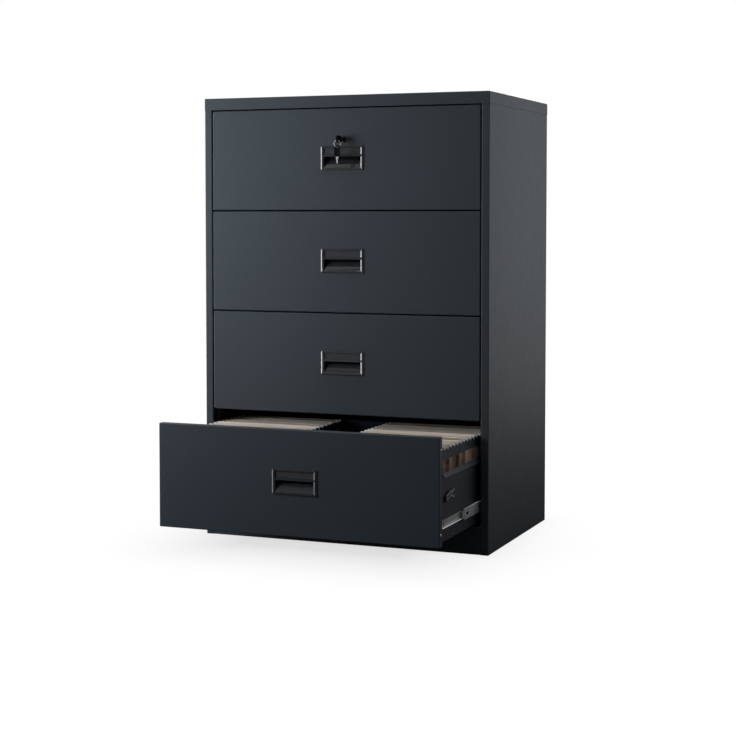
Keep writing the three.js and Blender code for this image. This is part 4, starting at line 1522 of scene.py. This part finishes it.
@dataclass
class TrayFittings:
    """The small fittings at a drawer's sides: a catch plate on the tray, and screws in the front's edges."""

    wall_half: float = 411 * MM
    lug_reach: float = 6 * MM
    lug_inset: float = 73 * MM
    lug_lift: float = 123 * MM
    lug_length: float = 42 * MM
    lug_width: float = 15 * MM
    lug_tilt: float = math.radians(17.0)
    slot_half: Place = (2 * MM, 15 * MM, 3 * MM)
    slot_corner: float = 2.8 * MM
    prong_length: float = 46 * MM
    prong_width: float = 5 * MM
    prong_turns: tuple[float, ...] = (math.radians(-4.0), math.radians(-30.0))
    round_share: float = 0.45
    plate: float = 1.0 * MM
    screw: Screw = Screw(3.0 * MM, 0.9 * MM)
    screw_inset: float = 13.3 * MM
    screw_lift: float = 31.8 * MM
    screw_spacing: float = 230 * MM

    def prong(self, turn: float) -> Object:
        """Models a prong with rounded ends that starts at the lug's middle.

        Args:
            turn: Its tilt upwards from the leaf, below zero where it points down.

        Returns:
            The prong, around the origin.
        """
        half = self.prong_width / 2
        prong = Bench.block((0.0, 0.0, -half), (self.plate, self.prong_length, half))
        Bench.bevel(prong, along(Axis.X), self.prong_width * self.round_share)
        Bench.take(prong)
        prong.rotation_euler = (turn, 0.0, 0.0)
        return Bench.settle()

    def catch_plate(self, low: Vector) -> Object:
        """Models the catch plate on the lug: a leaf with a slot, and two prongs that point to the rear.

        Args:
            low: The lowest corner of the tray.

        Returns:
            The plate.
        """
        half = offset(0.0, self.lug_length / 2, self.lug_width / 2)
        leaf = Bench.block(-half, half + offset(x=self.plate))
        Bench.bevel(leaf, along(Axis.X), self.lug_width * self.round_share, steps=5)
        for turn in self.prong_turns:
            Bench.combine(leaf, self.prong(turn), Tool.FUSE)
        slot = Bench.block(-Vector(self.slot_half), self.slot_half)
        Bench.bevel(slot, along(Axis.X), self.slot_corner, steps=4)
        Bench.combine(leaf, slot, Tool.CUT)
        Bench.take(leaf)
        leaf.rotation_euler = (self.lug_tilt, 0.0, 0.0)
        leaf.location = (self.wall_half + self.lug_reach, low.y + self.lug_inset, low.z + self.lug_lift)
        return Bench.settle()

    def front_screws(self, low: Vector, high: Vector) -> Object:
        """Models the two screws in the right edge of a front.

        Args:
            low: The lowest corner of the front.
            high: Its highest corner.

        Returns:
            The screws.
        """
        edge = high.x + self.screw.height / 2
        lower = self.screw.build(Vector((edge, low.y + self.screw_inset, low.z + self.screw_lift)))
        return Bench.row(lower, [offset(z=self.screw_spacing)])

    def dress(self) -> None:
        """Models the fittings once on the right of the top tray, and copies them to every tray."""
        plate = self.catch_plate(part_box(f"tray_{TOP_DRAWER}")[0])
        screws = self.front_screws(*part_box(f"front_{TOP_DRAWER}"))
        fittings = [
            Fitting(plate, CATCH_STEEL, "catch_plate_{number}_{side}"),
            Fitting(screws, RACE_STEEL, "front_screws_{number}_{side}"),
        ]
        copy_to_drawers(fittings, "tray_{number}", tuple(Side))


@dataclass(frozen=True)
class Lamp:
    """A soft studio lamp: where it stands, what it looks at, its size, its power and how wide it spreads."""

    name: str
    place: Place
    target: Place
    width: float
    height: float
    power: float
    spread: float = 180.0
    only_gloss: bool = False
    tint: Colour = (1.0, 1.0, 1.0)

    def build(self) -> None:
        """Adds the lamp, unseen by the camera, or a card that shows in glossy surfaces alone."""
        Bench.clear()
        bpy.ops.object.light_add(type="AREA", location=self.place)
        lamp = bpy.context.active_object
        lamp.name = self.name
        aim = Vector(self.target) - Vector(self.place)
        lamp.rotation_euler = aim.to_track_quat("-Z", "Y").to_euler()
        lamp.data.shape = "RECTANGLE"
        lamp.data.size = self.width
        lamp.data.size_y = self.height
        lamp.data.energy = self.power
        lamp.data.color = self.tint
        lamp.data.spread = math.radians(self.spread)
        lamp.visible_camera = False
        lamp.visible_diffuse = not self.only_gloss


@dataclass(frozen=True)
class Halo:
    """A painted shade on the floor, standing for the soft shadow round the cabinet: the box that it fills,
    how dark it is there, how far it fades outside.
    """

    centre: Place
    half: Place
    strength: float
    reach: float

    def shade(self, web: NodeWeb, place: NodeSocket) -> NodeSocket:
        """Works out the shade.

        Args:
            web: The floor's nodes.
            place: The place on the floor.

        Returns:
            How much light the shade takes there.
        """
        from_centre = web.vector("SUBTRACT", place, self.centre).outputs["Vector"]
        sideways = web.vector("ABSOLUTE", from_centre).outputs["Vector"]
        past_box = web.vector("SUBTRACT", sideways, self.half).outputs["Vector"]
        outside = web.vector("MAXIMUM", past_box).outputs["Vector"]
        distance = web.vector("LENGTH", outside).outputs["Value"]
        fade = web.maths("EXPONENT", web.maths("DIVIDE", distance, -self.reach))
        return web.maths("MULTIPLY", fade, self.strength)


@dataclass
class Studio:
    """A pale floor in a white studio, soft lamps and the camera."""

    floor_size: float = 16.0
    floor_drop: float = 0.4 * MM
    floor_shade: float = 0.06
    floor_light: float = 0.04
    # Painted shades on the floor, in front of the cabinet and round its foot.
    painted_floor_shades: tuple[Halo, ...] = (
        Halo((-0.05, -0.30, 0.0), (0.25, 0.10, 1.0), 0.25, 0.21),
        Halo((0.0, 0.0, 0.0), (0.45, 0.30, 1.0), 0.06, 0.06),
    )
    gloss_centre: Place = (-0.15, -0.35, 0.0)
    gloss_start: float = 3.1
    gloss_end: float = 3.7
    floor_gloss: float = 0.04
    front_gloss: float = 0.22
    back_gloss: float = 0.70
    back_start: float = -0.2
    back_end: float = 0.6
    ambient: float = 0.08
    lens: float = 79.973
    camera_place: Place = (1.8448, -4.7143, 0.9718)
    camera_turn: float = 0.38017
    camera_dip: float = math.radians(3.0)
    camera_shift: float = -0.09196
    lamps: tuple[Lamp, ...] = (
        Lamp("key_lamp", (-1.72, -1.88, 1.2), (-0.1, -0.3, 0.75), 1.1, 1.3, 30.0, tint=(0.845, 0.968, 1.08)),
        Lamp("edge_card", (-2.4, -0.85, 0.95), (0.0, -0.3, 0.95), 0.8, 1.8, 50.0, only_gloss=True),
        Lamp("low_card", (-1.0, -0.81, 0.09), (0.0, -0.63, 0.25), 0.32, 0.17, 0.45, only_gloss=True),
        Lamp("side_lamp", (2.3, 0.45, 1.15), (0.45, 0.12, 1.1), 1.0, 1.2, 2.0, 40.0, tint=(0.92, 1.0, 1.06)),
        Lamp("over_card", (-0.95, -0.95, 3.0), (-0.5, -0.6, 0.9), 1.0, 1.1, 2.4, only_gloss=True),
        Lamp("back_lamp", (-0.2, 3.2, 1.7), (0.0, 0.3, 0.7), 1.2, 1.2, 60.0),
        Lamp("top_lamp", (0.0, -0.42, 3.0), (0.0, -0.42, 0.0), 1.6, 0.5, 40.0),
    )

    def seen(self, web: NodeWeb, share: NodeSocket) -> NodeSocket:
        """Tells how bright a white surface shows to a ray.

        Args:
            web: The material's nodes.
            share: How bright it shows in gloss and through glass.

        Returns:
            1 for rays from the camera, the share for rays from gloss and through glass, else 0.
        """
        path = web.add("ShaderNodeLightPath", {}).outputs
        gloss = web.maths("MAXIMUM", path["Is Glossy Ray"], path["Is Transmission Ray"])
        return web.maths("MAXIMUM", path["Is Camera Ray"], web.maths("MULTIPLY", gloss, share))

    def floor_paper(self) -> Material:
        """Makes the floor's material, which shows white, and dimmer in shadow and in the painted shades.

        Returns:
            The material.
        """
        paper = bpy.data.materials.new("studio_floor")
        paper.use_nodes = True
        web = NodeWeb(paper.node_tree)
        place = web.coords()
        distance = web.vector("DISTANCE", place, self.gloss_centre).outputs["Value"]
        share = web.span(distance, self.gloss_start, self.gloss_end, self.floor_gloss, self.back_gloss)
        seen = self.seen(web, share)
        shade, light = ((value, value, value) for value in (self.floor_shade, self.floor_light))
        base = web.add("ShaderNodeBsdfDiffuse", {"Color": web.mix(seen, shade, light)})
        level: float | NodeSocket = 1.0
        for painted_floor_shade in self.painted_floor_shades:
            level = web.maths("SUBTRACT", level, painted_floor_shade.shade(web, place))
        glow = web.add("ShaderNodeEmission", {"Strength": web.maths("MULTIPLY", seen, level)})
        both = web.add("ShaderNodeAddShader", {0: base.outputs["BSDF"], 1: glow.outputs["Emission"]})
        web.add("ShaderNodeOutputMaterial", {"Surface": both.outputs["Shader"]})
        return paper

    def floor(self) -> None:
        """Adds the floor, a little below the cabinet."""
        Bench.clear()
        bpy.ops.mesh.primitive_plane_add(size=self.floor_size, location=(0.0, 0.0, -self.floor_drop))
        floor = Bench.settle()
        floor.name = "studio_floor"
        floor.data.materials.append(self.floor_paper())

    def world(self) -> None:
        """Makes the surroundings white to look at, bright in gloss behind the cabinet, and dim as a lamp."""
        world = bpy.data.worlds.new("studio")
        bpy.context.scene.world = world
        world.use_nodes = True
        web = NodeWeb(world.node_tree)
        back = web.add("ShaderNodeSeparateXYZ", {0: web.coords("Generated")}).outputs["Y"]
        share = web.span(back, self.back_start, self.back_end, self.front_gloss, self.back_gloss)
        strength = web.maths("MAXIMUM", self.seen(web, share), self.ambient)
        glow = web.add("ShaderNodeBackground", {"Color": (1.0, 1.0, 1.0, 1.0), "Strength": strength})
        web.add("ShaderNodeOutputWorld", {"Surface": glow.outputs["Background"]})

    def camera(self) -> None:
        """Adds the camera, right of the cabinet's front and tipped a little down."""
        Bench.clear()
        rotation = (math.pi / 2 - self.camera_dip, 0.0, self.camera_turn)
        bpy.ops.object.camera_add(location=self.camera_place, rotation=rotation)
        camera = bpy.context.active_object
        camera.data.lens = self.lens
        camera.data.shift_y = self.camera_shift
        bpy.context.scene.camera = camera

    def build(self) -> None:
        """Sets up the studio."""
        bpy.context.scene.view_settings.view_transform = "Standard"
        self.floor()
        self.world()
        self.camera()
        for lamp in self.lamps:
            lamp.build()
        LOG.info("studio with %d lamps", len(self.lamps))


def main() -> None:
    """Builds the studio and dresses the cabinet."""
    Studio().build()
    Carcass().dress()
    BackRivets().dress()
    Handle().dress()
    row = FileRow()
    for side in Side:
        row.dress(side)
    Slides().dress()
    TrayFittings().dress()
    LockSet().dress()


if __name__ == "__main__":
    main()
